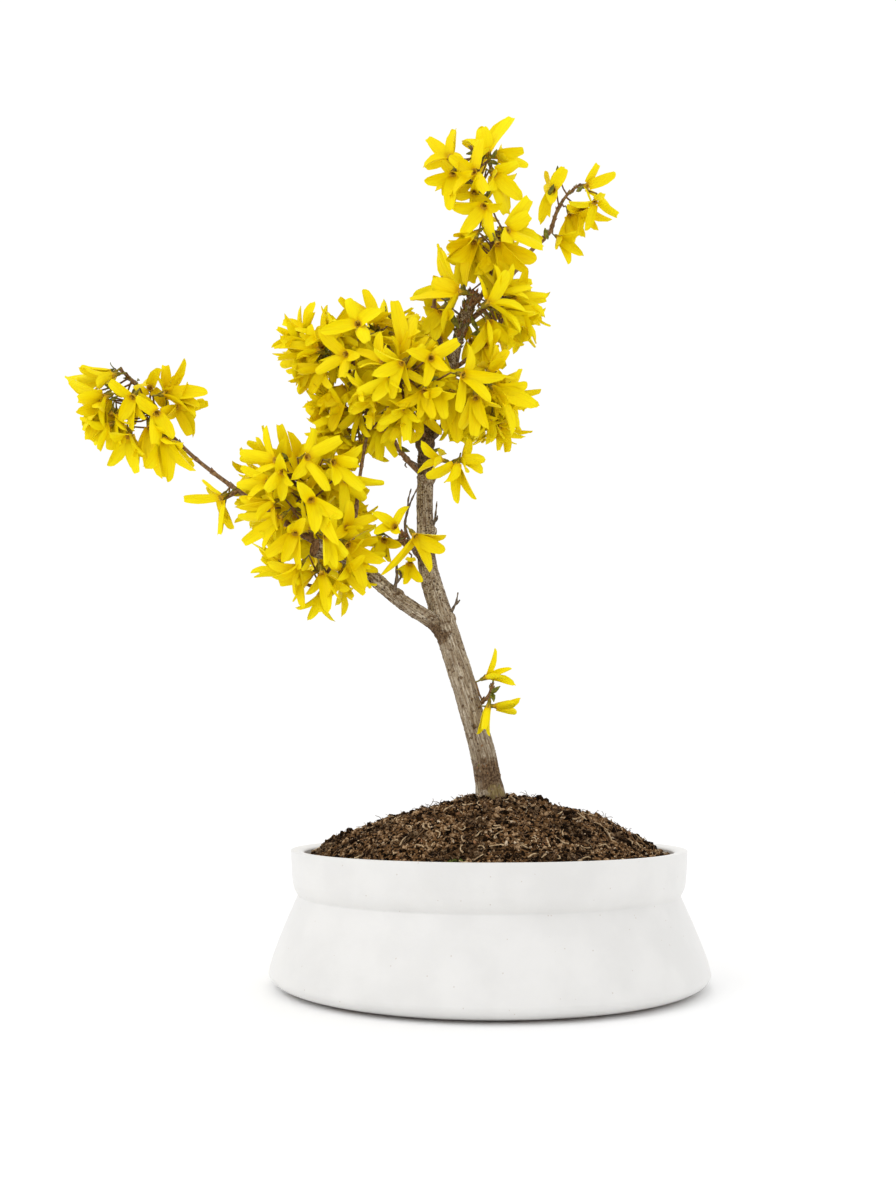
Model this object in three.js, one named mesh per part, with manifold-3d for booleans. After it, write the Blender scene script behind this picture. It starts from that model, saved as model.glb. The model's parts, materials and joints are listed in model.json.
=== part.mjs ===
// Forsythia bonsai in a white ceramic pot: a leaning trunk cut off at the top, one thick low bough,
// thin young shoots, and loose masses of blossom with four strap petals to a flower.
// Millimetres, +Z up. The origin is the centre of the pot's flat underside, and -Y is the front.

import * as THREE from 'three';
import { mergeVertices } from 'three/addons/utils/BufferGeometryUtils.js';
import Module from 'manifold-3d';

const wasm = await Module();
wasm.setup();

// Driving dimensions of the pot
const POT_DIAMETER = 240;
const POT_HEIGHT = 72;
const POT_WALL = 5;
const POT_FLOOR = 7;
const POT_SEGMENTS = 44;
const FOOT_RADIUS = 102.4;
const BELLY_HEIGHT = 7.4;
const NECK_RADIUS = 105.1;
const NECK_HEIGHT = 47.9;
const BAND_RADIUS = 109.6;
const BAND_HEIGHT = 61.8;
const RIM_RADIUS = 107.2;

// Points that pull the pot's outline round its foot, belly, neck, band and rim: radius and height
const FOOT_PULL = [118.5, 1.2];
const BELLY_PULL = [119, 17];
const NECK_PULL = [107.1, 43];
const BAND_PULL = [109.2, 53.8];
const RIM_PULL = [109.6, 67];
const CURVE_STEPS = 3;

// Driving dimensions of the soil
const SOIL_GAP = 0.5;
const SOIL_EDGE_HEIGHT = 66.5;
const SOIL_RISE = 33.5;
const SOIL_ROUNDNESS = 1.7;
const SOIL_RINGS = 12;
const SEAT_RADIUS = 13;
const SEAT_RINGS = 2;

// Clods: the big ones, each a place, a height and a spread, shape the mound's outline, and small
// ones lie evenly all over it.
const BIG_CLODS = [
  [-84, 4, 1.6, 13], [-41, 2, -3.6, 16], [-14, -8, 0.8, 12], [24, 3, 1.4, 14], [62, 0, 3.6, 21],
  [-30, -58, 1.8, 18], [38, -60, -1.6, 17], [-52, 46, 2.2, 20], [34, 52, -1.8, 18], [2, 74, 1.8, 16],
];
const CLODS = 90;
const CLODS_REACH = 96;
const CLOD_SPREAD = 7.5;
const CLOD_HEIGHTS = [-1.4, 2];
const CLOD_SEED = 5;
const CLOD_FADE = 8;

// Corners nearer together than this are one corner.
const MERGE_DISTANCE = 1e-3;
const SMALLEST_EDGE = 0.1;

// Driving dimensions of the wood
const GAP = 0.3;
const FOOT_HEIGHT = 97;
const RING_SPACING = 8;
const FEWEST_RINGS = 4;
const SHOOT_SIDES = 6;
const STEM_SIDES = 5;
const STEM_RADII = [1.2, 0.8];
const TWIG_SIDES = 3;

// Driving dimensions of a flower. Its petals are larger than life, because the crown has fewer
// flowers than the real one.
const PETALS = 4;
const PETAL_LENGTH = 25;
const PETAL_WIDTH = 13;
const SHOULDER = 0.56;
const NOTCH = 2.8;
const REFLEX = 0.12;
const COLLAR_RADIUS = 1.5;
const COLLAR_DEPTH = 1.6;
const STALK_LENGTH = 8;

// How a mass grows
const GOLDEN_ANGLE = Math.PI * (3 - Math.sqrt(5));
const TWIG_RADIUS = 0.7;
const ROOT_SINK = 0.8;
const FLOWERS_IN_SPRAY = 3;
const FLOWER_REACH = 15.5;
const SHORTEST_TWIG = 2.5;
const OWN_SPACE = 1.1;
const PETAL_SPACE = 1.2;
const STEM_SAMPLES = 24;
const FIRST_SAMPLE = 3;
const SPLAY = [0.65, 1.05];
const OPENING = [0.95, 1.3];
const SIZE = [0.9, 1.08];
const SIZES_TRIED = [1, 0.85, 0.7, 0.58];

// Limbs in growing order. A route runs through hand-placed bends, and a girth gives the radius at
// a fraction of the length. The trunk is cut off level at its foot, where its roots flare, and each
// other limb starts inside the limb that carries it.
const LIMBS = {
  trunk: {
    route: [[3.2, 0, 88], [-2, -1, 121], [-12.8, -4, 160], [-23.7, -3, 195.4], [-34.1, -1, 231.7],
      [-35.6, 1, 283], [-33.4, 0, 319], [-21.3, 3, 349.3], [-14.8, 4.5, 377], [-6.8, 6, 399.8]],
    girth: [[0, 10.4], [0.06, 7.6], [0.1, 7.2], [0.22, 6.6], [0.34, 6.8], [0.41, 6.1], [0.51, 4.7],
      [0.66, 4.7], [0.8, 3.7], [1, 2.9]],
    sides: 11,
  },
  left_bough: {
    carrier: 'trunk',
    route: [[-23.7, -3, 194.6], [-50.8, -12, 211], [-77.2, -24, 231.5], [-95.3, -38, 235.4]],
    girth: [[0, 4.8], [0.4, 4], [1, 3.9]],
    sides: 10,
  },
  left_shoot: {
    carrier: 'left_bough',
    route: [[-88, -31, 234.8], [-104.9, -28, 246], [-138.8, -25, 269.3], [-165, -22.5, 289.3],
      [-182, -21, 305.7]],
    girth: [[0, 1.9], [0.3, 1.5], [1, 1]],
  },
  riser_shoot: {
    carrier: 'left_bough',
    route: [[-77.2, -24, 232.3], [-74.6, -22, 256], [-73.1, -18, 276.6], [-69.3, -11, 307]],
    girth: [[0, 1.3], [1, 0.9]],
  },
  knot_stub: {
    carrier: 'trunk',
    route: [[-35.2, 0, 242], [-41.5, -5, 243], [-46, -9, 243.4]],
    girth: [[0, 3.6], [1, 3.3]],
    sides: 8,
  },
  centre_left_shoot: {
    carrier: 'trunk',
    route: [[-35.6, 1, 284], [-47.4, -10, 294], [-60.5, -20, 312], [-72, -20, 334]],
    girth: [[0, 1.75], [1, 1.1]],
  },
  right_low_shoot: {
    carrier: 'trunk',
    route: [[-35.6, 1, 279], [-30, -5, 283.5], [-25.5, -9, 287]],
    girth: [[0, 1.75], [1, 1.4]],
  },
  centre_front_shoot: {
    carrier: 'trunk',
    route: [[-35.2, 0, 304], [-38, -13, 310], [-43, -23, 317]],
    girth: [[0, 1.7], [1, 1.3]],
  },
  centre_back_shoot: {
    carrier: 'trunk',
    route: [[-33, 0, 321], [-37, 14, 334], [-45, 26, 350]],
    girth: [[0, 1.8], [1, 1.3]],
  },
  centre_top_shoot: {
    carrier: 'trunk',
    route: [[-33.3, 0, 319], [-43, -4, 333], [-53, -9, 352]],
    girth: [[0, 1.7], [1, 1.2]],
  },
  upper_left_shoot: {
    carrier: 'trunk',
    route: [[-20, 3, 353], [-26.6, -6, 364], [-31, -11, 379]],
    girth: [[0, 1.4], [1, 0.9]],
  },
  upper_right_shoot: {
    carrier: 'trunk',
    route: [[-21.3, 3, 349.3], [-7.8, -6, 357.3], [5.1, -8, 371.8]],
    girth: [[0, 1.4], [1, 1]],
  },
  top_shoot: {
    carrier: 'trunk',
    route: [[-11.7, 5, 387.4], [-0.9, 4, 399.6], [4.6, 3, 413.1], [0.5, 2, 449]],
    girth: [[0, 1.6], [1, 1.05]],
  },
  right_top_shoot: {
    carrier: 'trunk',
    route: [[-15.1, 4.5, 376.5], [2.9, 10, 395.8], [28.8, 20, 432.8], [41.4, 24, 447.5]],
    girth: [[0, 1.7], [0.6, 1.45], [1, 1.3]],
  },
};

// Masses of blossom. Each has a heart, a reach along X, Y and Z, a stem that starts on its carrier,
// and a number of sprays, each with a whorl of flowers.
const MASSES = {
  left_tip: {
    carrier: 'left_shoot',
    stem: [[-182, -21, 305.7], [-193, -20, 320.1], [-200.9, -18, 333.8], [-212.5, -17, 344.3]],
    heart: [-204, -20, 316],
    reach: [42, 34, 37],
    sprays: 5,
    seed: 26,
  },
  left_spray: {
    carrier: 'left_shoot',
    stem: [[-140, -25, 270.8], [-145.5, -27, 266.5], [-149, -28, 264]],
    heart: [-155, -27, 261],
    reach: [17, 15, 18],
    sprays: 1,
    seed: 12,
    bloom: 0.8,
  },
  left_top: {
    carrier: 'left_shoot',
    stem: [[-98, -29.3, 242], [-102, -24, 262], [-108, -16, 284]],
    heart: [-110, -17, 276],
    reach: [38, 32, 34],
    sprays: 4,
    seed: 54,
  },
  left_bottom: {
    carrier: 'left_bough',
    stem: [[-84, -28, 234.2], [-89, -28, 224], [-96, -27, 216]],
    heart: [-95, -27, 232],
    reach: [35, 30, 33],
    sprays: 4,
    seed: 43,
  },
  left_back: {
    carrier: 'left_bough',
    stem: [[-77.2, -24, 232.3], [-84, -2, 244], [-97, 14, 262], [-102, 19, 276]],
    heart: [-99, 17, 262],
    reach: [33, 30, 32],
    sprays: 4,
    seed: 54,
  },
  knot_spray: {
    carrier: 'knot_stub',
    stem: [[-46, -9, 243.4], [-49, -14, 244], [-48, -20, 246]],
    heart: [-45, -18, 238],
    reach: [24, 22, 25],
    sprays: 3,
    seed: 1,
  },
  centre_low: {
    carrier: 'riser_shoot',
    stem: [[-69.3, -11, 307], [-74, -5, 315], [-82, -2, 326]],
    heart: [-78, -5, 319],
    reach: [30, 27, 29],
    sprays: 3,
    seed: 38,
  },
  centre_left: {
    carrier: 'centre_left_shoot',
    stem: [[-72, -20, 334], [-84, -14, 347], [-98, -8, 362]],
    heart: [-96.4, -9, 357.8],
    reach: [27, 27, 31],
    sprays: 3,
    seed: 44,
  },
  centre_top: {
    carrier: 'centre_top_shoot',
    stem: [[-53, -9, 352], [-60, -12, 364], [-66, -14, 376]],
    heart: [-63, -13, 371],
    reach: [27, 27, 24],
    sprays: 3,
    seed: 58,
  },
  centre_front: {
    carrier: 'centre_front_shoot',
    stem: [[-43, -23, 317], [-48, -32, 325], [-50, -36, 335]],
    heart: [-48.3, -36, 326],
    reach: [30, 26, 32],
    sprays: 4,
    seed: 35,
  },
  centre_right: {
    carrier: 'trunk',
    stem: [[-29.8, 1.1, 331], [-15, -8, 330], [0, -14, 333], [8, -16, 338]],
    heart: [-2.9, -13, 329],
    reach: [32, 30, 32],
    sprays: 4,
    seed: 49,
  },
  centre_back: {
    carrier: 'centre_back_shoot',
    stem: [[-45, 26, 350], [-52, 33, 362], [-58, 38, 376]],
    heart: [-52.5, 34, 364],
    reach: [37, 30, 35],
    sprays: 3,
    seed: 35,
  },
  right_low: {
    carrier: 'right_low_shoot',
    stem: [[-25.5, -9, 287], [-21, -13, 289], [-17, -17, 289]],
    heart: [-20, -17, 287],
    reach: [22, 20, 21],
    sprays: 2,
    seed: 20,
  },
  upper_left: {
    carrier: 'upper_left_shoot',
    stem: [[-31, -11, 379], [-30, -11, 391], [-25, -9, 405]],
    heart: [-25.5, -8, 399],
    reach: [23, 24, 28],
    sprays: 3,
    seed: 36,
  },
  upper_mid: {
    carrier: 'top_shoot',
    stem: [[4.6, 3, 412], [9, -3, 421], [11, -6, 433]],
    heart: [4, 0, 429],
    reach: [28, 26, 25],
    sprays: 3,
    seed: 29,
  },
  upper_right: {
    carrier: 'upper_right_shoot',
    stem: [[5.1, -8, 371.8], [12, -5, 382], [16, 0, 394]],
    heart: [15.8, 1, 389],
    reach: [24, 26, 28],
    sprays: 3,
    seed: 3,
  },
  top: {
    carrier: 'top_shoot',
    stem: [[0.5, 2, 449], [-5.4, 3, 475.9], [-9, 4, 497.3]],
    heart: [-4.8, 3, 475],
    reach: [34, 32, 36],
    sprays: 5,
    seed: 46,
  },
  right_top: {
    carrier: 'right_top_shoot',
    stem: [[41.4, 24, 447.5], [46.5, 26, 463.3], [53, 27, 473.8], [61, 28, 481]],
    heart: [59.5, 26, 461],
    reach: [27, 25, 31],
    sprays: 3,
    seed: 30,
  },
  trunk_sprout: {
    carrier: 'trunk',
    stem: [[-9, -3.3, 150], [0, -8, 156], [3, -9, 164]],
    heart: [5, -8, 159],
    reach: [18, 16, 26],
    sprays: 2,
    seed: 32,
    bloom: 0.8,
  },
};

// Materials
const glaze = { color: 0xe9e9e7, roughness: 0.38, metalness: 0 };
const compost = { color: 0x3f2c20, roughness: 0.95, metalness: 0 };
const oldBark = { color: 0x7d6a58, roughness: 0.85, metalness: 0 };
const youngBark = { color: 0x6f4a35, roughness: 0.75, metalness: 0 };
const blossom = { color: 0xf2d80e, roughness: 0.6, metalness: 0 };

// A repeatable stream of numbers from 0 to 1
function seededNumbers(seed) {
  let state = seed;
  return () => {
    state = (state + 0x6d2b79f5) | 0;
    let mixed = Math.imul(state ^ (state >>> 15), 1 | state);
    mixed = (mixed + Math.imul(mixed ^ (mixed >>> 7), 61 | mixed)) ^ mixed;
    return ((mixed ^ (mixed >>> 14)) >>> 0) / 4294967296;
  };
}

function between(random, low, high) {
  return low + (high - low) * random();
}

// Solids from geometries, and geometries from solids
function toSolid(geometry) {
  geometry.deleteAttribute('normal');
  geometry.deleteAttribute('uv');
  const merged = mergeVertices(geometry, MERGE_DISTANCE);
  const mesh = new wasm.Mesh({
    numProp: 3,
    vertProperties: new Float32Array(merged.attributes.position.array),
    triVerts: new Uint32Array(merged.index.array),
  });
  return new wasm.Manifold(mesh);
}

function toGeometry(solid) {
  const mesh = solid.getMesh();
  const geometry = new THREE.BufferGeometry();
  geometry.setAttribute('position', new THREE.BufferAttribute(mesh.vertProperties, 3));
  geometry.setIndex(new THREE.BufferAttribute(mesh.triVerts, 1));
  return geometry;
}

// The largest loose piece, without sealed hollows, and with corners that almost touch made one
function largestPiece(solid) {
  const merged = toSolid(toGeometry(solid.simplify(SMALLEST_EDGE)).toNonIndexed());
  return merged.decompose().reduce((best, piece) => (piece.volume() > best.volume() ? piece : best));
}

// Radius at a fraction of a limb's length
function radiusAt(girth, fraction) {
  const next = Math.max(1, girth.findIndex(([place]) => place >= fraction));
  const [fromPlace, fromRadius] = girth[next - 1];
  const [toPlace, toRadius] = girth[next];
  return THREE.MathUtils.mapLinear(fraction, fromPlace, toPlace, fromRadius, toRadius);
}

function curveThrough(points) {
  return new THREE.CatmullRomCurve3(points.map((point) => new THREE.Vector3(...point)), false, 'centripetal');
}

function ringCount(curve) {
  return Math.max(FEWEST_RINGS, Math.round(curve.getLength() / RING_SPACING));
}

// A straight cylinder bent along a curve, with its radius given all along.
function taperedTube(curve, radius, sides, steps, overrun = 0) {
  const geometry = new THREE.CylinderGeometry(1, 1, 1, sides, steps);
  const frames = curve.computeFrenetFrames(steps, false);
  const position = geometry.attributes.position;
  const corner = new THREE.Vector3();
  const place = new THREE.Vector3();
  for (let index = 0; index < position.count; index += 1) {
    corner.fromBufferAttribute(position, index);
    const fraction = corner.y + 0.5;
    const step = Math.round(fraction * steps);
    curve.getPointAt(fraction, place);
    place.addScaledVector(frames.normals[step], corner.x * radius(fraction));
    place.addScaledVector(frames.binormals[step], -corner.z * radius(fraction));
    if (step === 0) place.addScaledVector(frames.tangents[0], -overrun);
    if (step === steps) place.addScaledVector(frames.tangents[steps], overrun);
    position.setXYZ(index, place.x, place.y, place.z);
  }
  return toSolid(geometry);
}

function limbSolid(name, growth = 0) {
  const { route, girth, sides = SHOOT_SIDES } = LIMBS[name];
  const curve = curveThrough(route);
  const radius = (fraction) => radiusAt(girth, fraction) + growth;
  return taperedTube(curve, radius, sides, ringCount(curve), growth);
}

// A lathe turns about Y, and the part stands along Z.
function turned(outline) {
  return new THREE.LatheGeometry(outline, POT_SEGMENTS).rotateX(Math.PI / 2);
}

// The pot's hollow, from the middle of the floor up to the band, drawn in by an inset
function hollowOutline(inset) {
  return [
    [0, POT_FLOOR + inset],
    [FOOT_RADIUS - inset, POT_FLOOR + inset],
    [POT_DIAMETER / 2 - POT_WALL - 2 * inset, BELLY_HEIGHT + POT_FLOOR + inset],
    [NECK_RADIUS - POT_WALL - inset, NECK_HEIGHT],
    [BAND_RADIUS - POT_WALL - inset, BAND_HEIGHT],
  ].map(([radius, height]) => new THREE.Vector2(radius, height));
}

// The pot: a flat foot, a flare, a creased neck and a rounded band under the rim
function potSolid() {
  const outside = new THREE.Path();
  outside.moveTo(0, 0);
  outside.lineTo(FOOT_RADIUS, 0);
  outside.quadraticCurveTo(...FOOT_PULL, POT_DIAMETER / 2, BELLY_HEIGHT);
  outside.bezierCurveTo(...BELLY_PULL, ...NECK_PULL, NECK_RADIUS, NECK_HEIGHT);
  outside.quadraticCurveTo(...BAND_PULL, BAND_RADIUS, BAND_HEIGHT);
  outside.quadraticCurveTo(...RIM_PULL, RIM_RADIUS, POT_HEIGHT);
  outside.lineTo(RIM_RADIUS - POT_WALL, POT_HEIGHT);
  return toSolid(turned([...outside.getPoints(CURVE_STEPS), ...hollowOutline(0).reverse()]));
}

// Clods spread over the mound by the golden angle, each of its own height
function soilClods() {
  const random = seededNumbers(CLOD_SEED);
  const clods = [...BIG_CLODS];
  for (let count = 0; count < CLODS; count += 1) {
    const distance = CLODS_REACH * Math.sqrt((count + 0.5) / CLODS);
    const angle = count * GOLDEN_ANGLE;
    const height = between(random, ...CLOD_HEIGHTS);
    clods.push([distance * Math.cos(angle), distance * Math.sin(angle), height, CLOD_SPREAD]);
  }
  return clods;
}

// Height of the mound at a place, with clods that fade out at the pot's wall
function soilHeight(x, y, clods) {
  const distance = Math.hypot(x, y) / (RIM_RADIUS - POT_WALL);
  const dome = SOIL_RISE * (1 - distance ** SOIL_ROUNDNESS);
  const swellings = clods.map(([clodX, clodY, height, spread]) => (
    height * Math.exp(-((x - clodX) ** 2 + (y - clodY) ** 2) / spread ** 2)));
  const fade = Math.min(1, CLOD_FADE * (1 - distance));
  return SOIL_EDGE_HEIGHT + dome + fade * swellings.reduce((sum, swelling) => sum + swelling);
}

// Faces between two rings, where the outer ring has one more side in each sixth than the inner one
function facesBetween(inner, outer, ring) {
  const faces = [];
  const onInner = (place) => inner + (ring > 1 ? place % (6 * (ring - 1)) : 0);
  for (let side = 0; side < 6 * ring; side += 1) {
    const step = side % ring;
    const place = side - Math.floor(side / ring);
    faces.push(outer + side, outer + (side + 1) % (6 * ring), onInner(place));
    if (step > 0) faces.push(outer + side, onInner(place), onInner(place - 1));
  }
  return faces;
}

// The soil fills the pot and rises to a mound, with a flat seat under the trunk. Each ring of the
// mound has six more corners than the ring inside it.
function soilSolid() {
  const clods = soilClods();
  const wall = RIM_RADIUS - POT_WALL - SOIL_GAP;
  const corners = [[0, 0, FOOT_HEIGHT - GAP]];
  const faces = [];
  const addRing = (radius, sides, heightAt) => {
    const start = corners.length;
    for (let side = 0; side < sides; side += 1) {
      const x = radius * Math.cos(2 * Math.PI * side / sides);
      const y = radius * Math.sin(2 * Math.PI * side / sides);
      corners.push([x, y, heightAt(x, y)]);
    }
    return start;
  };
  let last = 0;
  for (let ring = 1; ring <= SOIL_RINGS; ring += 1) {
    const share = (ring - SEAT_RINGS) / (SOIL_RINGS - SEAT_RINGS);
    const isSeat = share <= 0;
    const radius = isSeat ? SEAT_RADIUS * ring / SEAT_RINGS : SEAT_RADIUS + (wall - SEAT_RADIUS) * share;
    const next = addRing(radius, 6 * ring, (x, y) => (isSeat ? FOOT_HEIGHT - GAP : soilHeight(x, y, clods)));
    faces.push(...facesBetween(last, next, ring));
    last = next;
  }
  const sides = 6 * SOIL_RINGS;
  for (const { x: radius, y: height } of hollowOutline(SOIL_GAP).slice(1).reverse()) {
    const next = addRing(radius, sides, () => height);
    for (let side = 0; side < sides; side += 1) {
      const beside = (side + 1) % sides;
      faces.push(last + side, next + side, next + beside, last + side, next + beside, last + beside);
    }
    last = next;
  }
  corners.push([0, 0, POT_FLOOR + SOIL_GAP]);
  for (let side = 0; side < sides; side += 1) faces.push(corners.length - 1, last + (side + 1) % sides, last + side);
  const geometry = new THREE.BufferGeometry();
  geometry.setAttribute('position', new THREE.Float32BufferAttribute(corners.flat(), 3));
  geometry.setIndex(faces);
  return toSolid(geometry);
}

// A flower as one closed body: a stalk that widens from its root to a collar, and petals whose
// outline runs notch, shoulder, tip, shoulder. Each petal leans out by an opening of its own.
function flowerGeometry(root, { facing, spin, openings, size }) {
  const up = new THREE.Vector3(0, 0, 1);
  const corners = [new THREE.Vector3(), up.clone().multiplyScalar(STALK_LENGTH)];
  const place = (turn, opening, along, across) => {
    const lean = opening + REFLEX * (along / PETAL_LENGTH);
    const corner = new THREE.Vector3(along * Math.sin(lean), across, along * Math.cos(lean));
    corner.applyAxisAngle(up, turn);
    corner.z += STALK_LENGTH;
    return corners.push(corner) - 1;
  };
  const [foot, throat] = [0, 1];
  const quarter = (2 * Math.PI) / PETALS;
  const collar = openings.map((opening, count) => {
    const angle = (count + 0.5) * quarter;
    const around = new THREE.Vector3(Math.cos(angle), Math.sin(angle), 0).multiplyScalar(COLLAR_RADIUS);
    return corners.push(around.setZ(STALK_LENGTH - COLLAR_DEPTH)) - 1;
  });
  const notches = openings.map((opening, count) => place((count + 0.5) * quarter, opening, NOTCH, 0));
  const triangles = [];
  openings.forEach((opening, count) => {
    const last = (count + PETALS - 1) % PETALS;
    const turn = count * quarter;
    const shoulders = [-1, 1].map((hand) => (
      place(turn, opening, PETAL_LENGTH * size * SHOULDER, (hand * PETAL_WIDTH * size) / 2)));
    const tip = place(turn, opening, PETAL_LENGTH * size, 0);
    const outline = [notches[last], shoulders[0], tip, shoulders[1], notches[count]];
    for (let step = 1; step < outline.length; step += 1) {
      triangles.push([throat, outline[step - 1], outline[step]]);
      triangles.push([collar[step <= 2 ? last : count], outline[step], outline[step - 1]]);
    }
    triangles.push([collar[last], collar[count], tip]);
    triangles.push([foot, collar[count], collar[last]]);
  });
  const geometry = new THREE.BufferGeometry().setFromPoints(corners);
  geometry.setIndex(triangles.flat());
  geometry.rotateZ(spin);
  geometry.applyQuaternion(new THREE.Quaternion().setFromUnitVectors(up, facing));
  return geometry.translate(root.x, root.y, root.z);
}

// The point of a stem that lies nearest to a place
function nearestOnStem(curve, place) {
  let best = curve.getPointAt(1);
  for (let count = FIRST_SAMPLE; count <= STEM_SAMPLES; count += 1) {
    const point = curve.getPointAt(count / STEM_SAMPLES);
    if (point.distanceTo(place) < best.distanceTo(place)) best = point;
  }
  return best;
}

// How far out a place lies in a mass's own space: 1 is its edge
function depthIn(mass, place) {
  const [x, y, z] = mass.heart;
  const [reachX, reachY, reachZ] = mass.reach;
  return Math.hypot((place.x - x) / reachX, (place.y - y) / reachY, (place.z - z) / reachZ);
}

function isOwnSpace(mass, place) {
  const own = depthIn(mass, place);
  if (own > OWN_SPACE) return false;
  return Object.values(MASSES).every((other) => other === mass || depthIn(other, place) >= own);
}

// Whether every corner of a geometry lies within a mass's reach
function fillsOwnSpace(mass, geometry) {
  const corner = new THREE.Vector3();
  const { position } = geometry.attributes;
  for (let index = 0; index < position.count; index += 1) {
    if (depthIn(mass, corner.fromBufferAttribute(position, index)) > PETAL_SPACE) return false;
  }
  return true;
}

// The sprays of a mass: directions spread evenly by the golden angle, each with a whorl of flowers
function planSprays(mass) {
  const random = seededNumbers(mass.seed);
  const curve = curveThrough(mass.stem);
  const turn = between(random, 0, 2 * Math.PI);
  const plans = [];
  for (let count = 0; count < mass.sprays; count += 1) {
    const height = 1 - (2 * (count + 0.5)) / mass.sprays;
    const angle = turn + count * GOLDEN_ANGLE;
    const level = Math.sqrt(1 - height * height);
    const direction = new THREE.Vector3(level * Math.cos(angle), level * Math.sin(angle), height);
    const shell = new THREE.Vector3(...mass.reach).multiply(direction).add(new THREE.Vector3(...mass.heart));
    const start = nearestOnStem(curve, shell);
    const outward = shell.clone().sub(start);
    const twig = Math.max(SHORTEST_TWIG, outward.length() - FLOWER_REACH);
    outward.normalize();
    const node = start.clone().addScaledVector(outward, twig);
    const side = new THREE.Vector3(0, 0, 1).cross(outward).normalize();
    side.applyAxisAngle(outward, between(random, 0, Math.PI));
    const flowers = Array.from({ length: FLOWERS_IN_SPRAY }, () => {
      side.applyAxisAngle(outward, (2 * Math.PI) / FLOWERS_IN_SPRAY);
      const splay = between(random, ...SPLAY);
      const facing = outward.clone().multiplyScalar(Math.cos(splay)).addScaledVector(side, Math.sin(splay));
      return {
        facing,
        spin: between(random, 0, Math.PI / 2),
        openings: Array.from({ length: PETALS }, () => between(random, ...OPENING)),
        size: between(random, ...SIZE) * (mass.bloom ?? 1),
      };
    });
    plans.push({ start, outward, node, flowers });
  }
  return plans;
}

function isClear(solid, obstacles) {
  return obstacles.every((obstacle) => solid.minGap(obstacle, 2 * GAP) >= GAP);
}

// The stem of a mass, cut clear of its carrier
function stemSolid(mass) {
  const curve = curveThrough(mass.stem);
  const radius = (fraction) => THREE.MathUtils.lerp(...STEM_RADII, fraction);
  const whole = taperedTube(curve, radius, STEM_SIDES, ringCount(curve));
  return largestPiece(whole.subtract(limbSolid(mass.carrier, GAP)));
}

// A mass: its stem, and each spray that stays in the mass's space and clear of what is round it
function growMass(mass, stem, obstacles) {
  const solids = [stem];
  for (const { start, outward, node, flowers } of planSprays(mass)) {
    const path = new THREE.LineCurve3(start, node.clone().addScaledVector(outward, TWIG_RADIUS));
    const twig = taperedTube(path, () => TWIG_RADIUS, TWIG_SIDES, 1);
    if (!isOwnSpace(mass, node) || !isClear(twig, obstacles)) continue;
    solids.push(twig);
    const root = node.clone().addScaledVector(outward, -ROOT_SINK);
    for (const flower of flowers) {
      const throat = node.clone().addScaledVector(flower.facing, STALK_LENGTH);
      if (!isOwnSpace(mass, throat)) continue;
      for (const share of SIZES_TRIED) {
        const geometry = flowerGeometry(root, { ...flower, size: flower.size * share });
        const solid = toSolid(geometry);
        if (fillsOwnSpace(mass, geometry) && isClear(solid, obstacles)) {
          solids.push(solid);
          break;
        }
      }
    }
  }
  return largestPiece(wasm.Manifold.union(solids));
}

// Assembly
const bonsai = new THREE.Group();
bonsai.name = 'forsythia_bonsai';

function addPiece(name, solid, finish) {
  const material = new THREE.MeshStandardMaterial({ ...finish, flatShading: true });
  const mesh = new THREE.Mesh(toGeometry(solid), material);
  mesh.name = name;
  bonsai.add(mesh);
}

addPiece('pot', potSolid(), glaze);
addPiece('soil', soilSolid(), compost);

// A bough is cut clear of its carrier, and the trunk is cut level above the soil.
const limbSolids = [];
for (const name of Object.keys(LIMBS)) {
  const { carrier } = LIMBS[name];
  const whole = limbSolid(name);
  const cut = carrier ? whole.subtract(limbSolid(carrier, GAP)) : whole.trimByPlane([0, 0, 1], FOOT_HEIGHT);
  const limb = largestPiece(cut);
  limbSolids.push(limb);
  addPiece(name, limb, LIMBS[name].sides ? oldBark : youngBark);
}

// Every stem is in place before the first spray grows, so that no flower blocks another's stem.
const masses = Object.entries(MASSES);
const stems = masses.map(([, mass]) => stemSolid(mass));
const grown = [];
masses.forEach(([name, mass], index) => {
  const laterStems = stems.slice(index + 1);
  const solid = growMass(mass, stems[index], [...limbSolids, ...grown, ...laterStems]);
  grown.push(solid);
  addPiece(`${name}_blossom`, solid, blossom);
});

export default bonsai;
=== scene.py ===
"""A forsythia bonsai in a white pot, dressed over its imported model.

Places and sizes are worked out in millimetres, as the part's source has them, and each mesh is
made in metres. The origin is the centre of the pot's underside, +Z is up and -Y is the front.
"""

import json
import math

import bpy
import numpy as np
from mathutils import Matrix, Vector, noise

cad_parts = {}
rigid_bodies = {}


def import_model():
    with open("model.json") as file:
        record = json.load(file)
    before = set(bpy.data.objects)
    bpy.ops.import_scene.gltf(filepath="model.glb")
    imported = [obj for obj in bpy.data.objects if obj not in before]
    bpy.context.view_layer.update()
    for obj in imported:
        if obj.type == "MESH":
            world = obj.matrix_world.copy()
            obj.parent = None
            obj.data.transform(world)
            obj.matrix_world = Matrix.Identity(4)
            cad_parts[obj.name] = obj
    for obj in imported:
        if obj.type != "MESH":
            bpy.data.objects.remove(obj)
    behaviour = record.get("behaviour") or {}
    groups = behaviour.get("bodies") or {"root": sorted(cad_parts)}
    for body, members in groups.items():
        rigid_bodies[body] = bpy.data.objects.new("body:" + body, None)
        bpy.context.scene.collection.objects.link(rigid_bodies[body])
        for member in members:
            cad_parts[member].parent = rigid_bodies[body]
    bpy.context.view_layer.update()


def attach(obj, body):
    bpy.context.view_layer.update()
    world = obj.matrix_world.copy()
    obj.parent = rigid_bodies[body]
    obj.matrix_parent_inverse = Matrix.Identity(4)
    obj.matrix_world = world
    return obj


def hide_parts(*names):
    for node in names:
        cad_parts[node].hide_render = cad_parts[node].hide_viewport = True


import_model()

MM = 0.001

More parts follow.
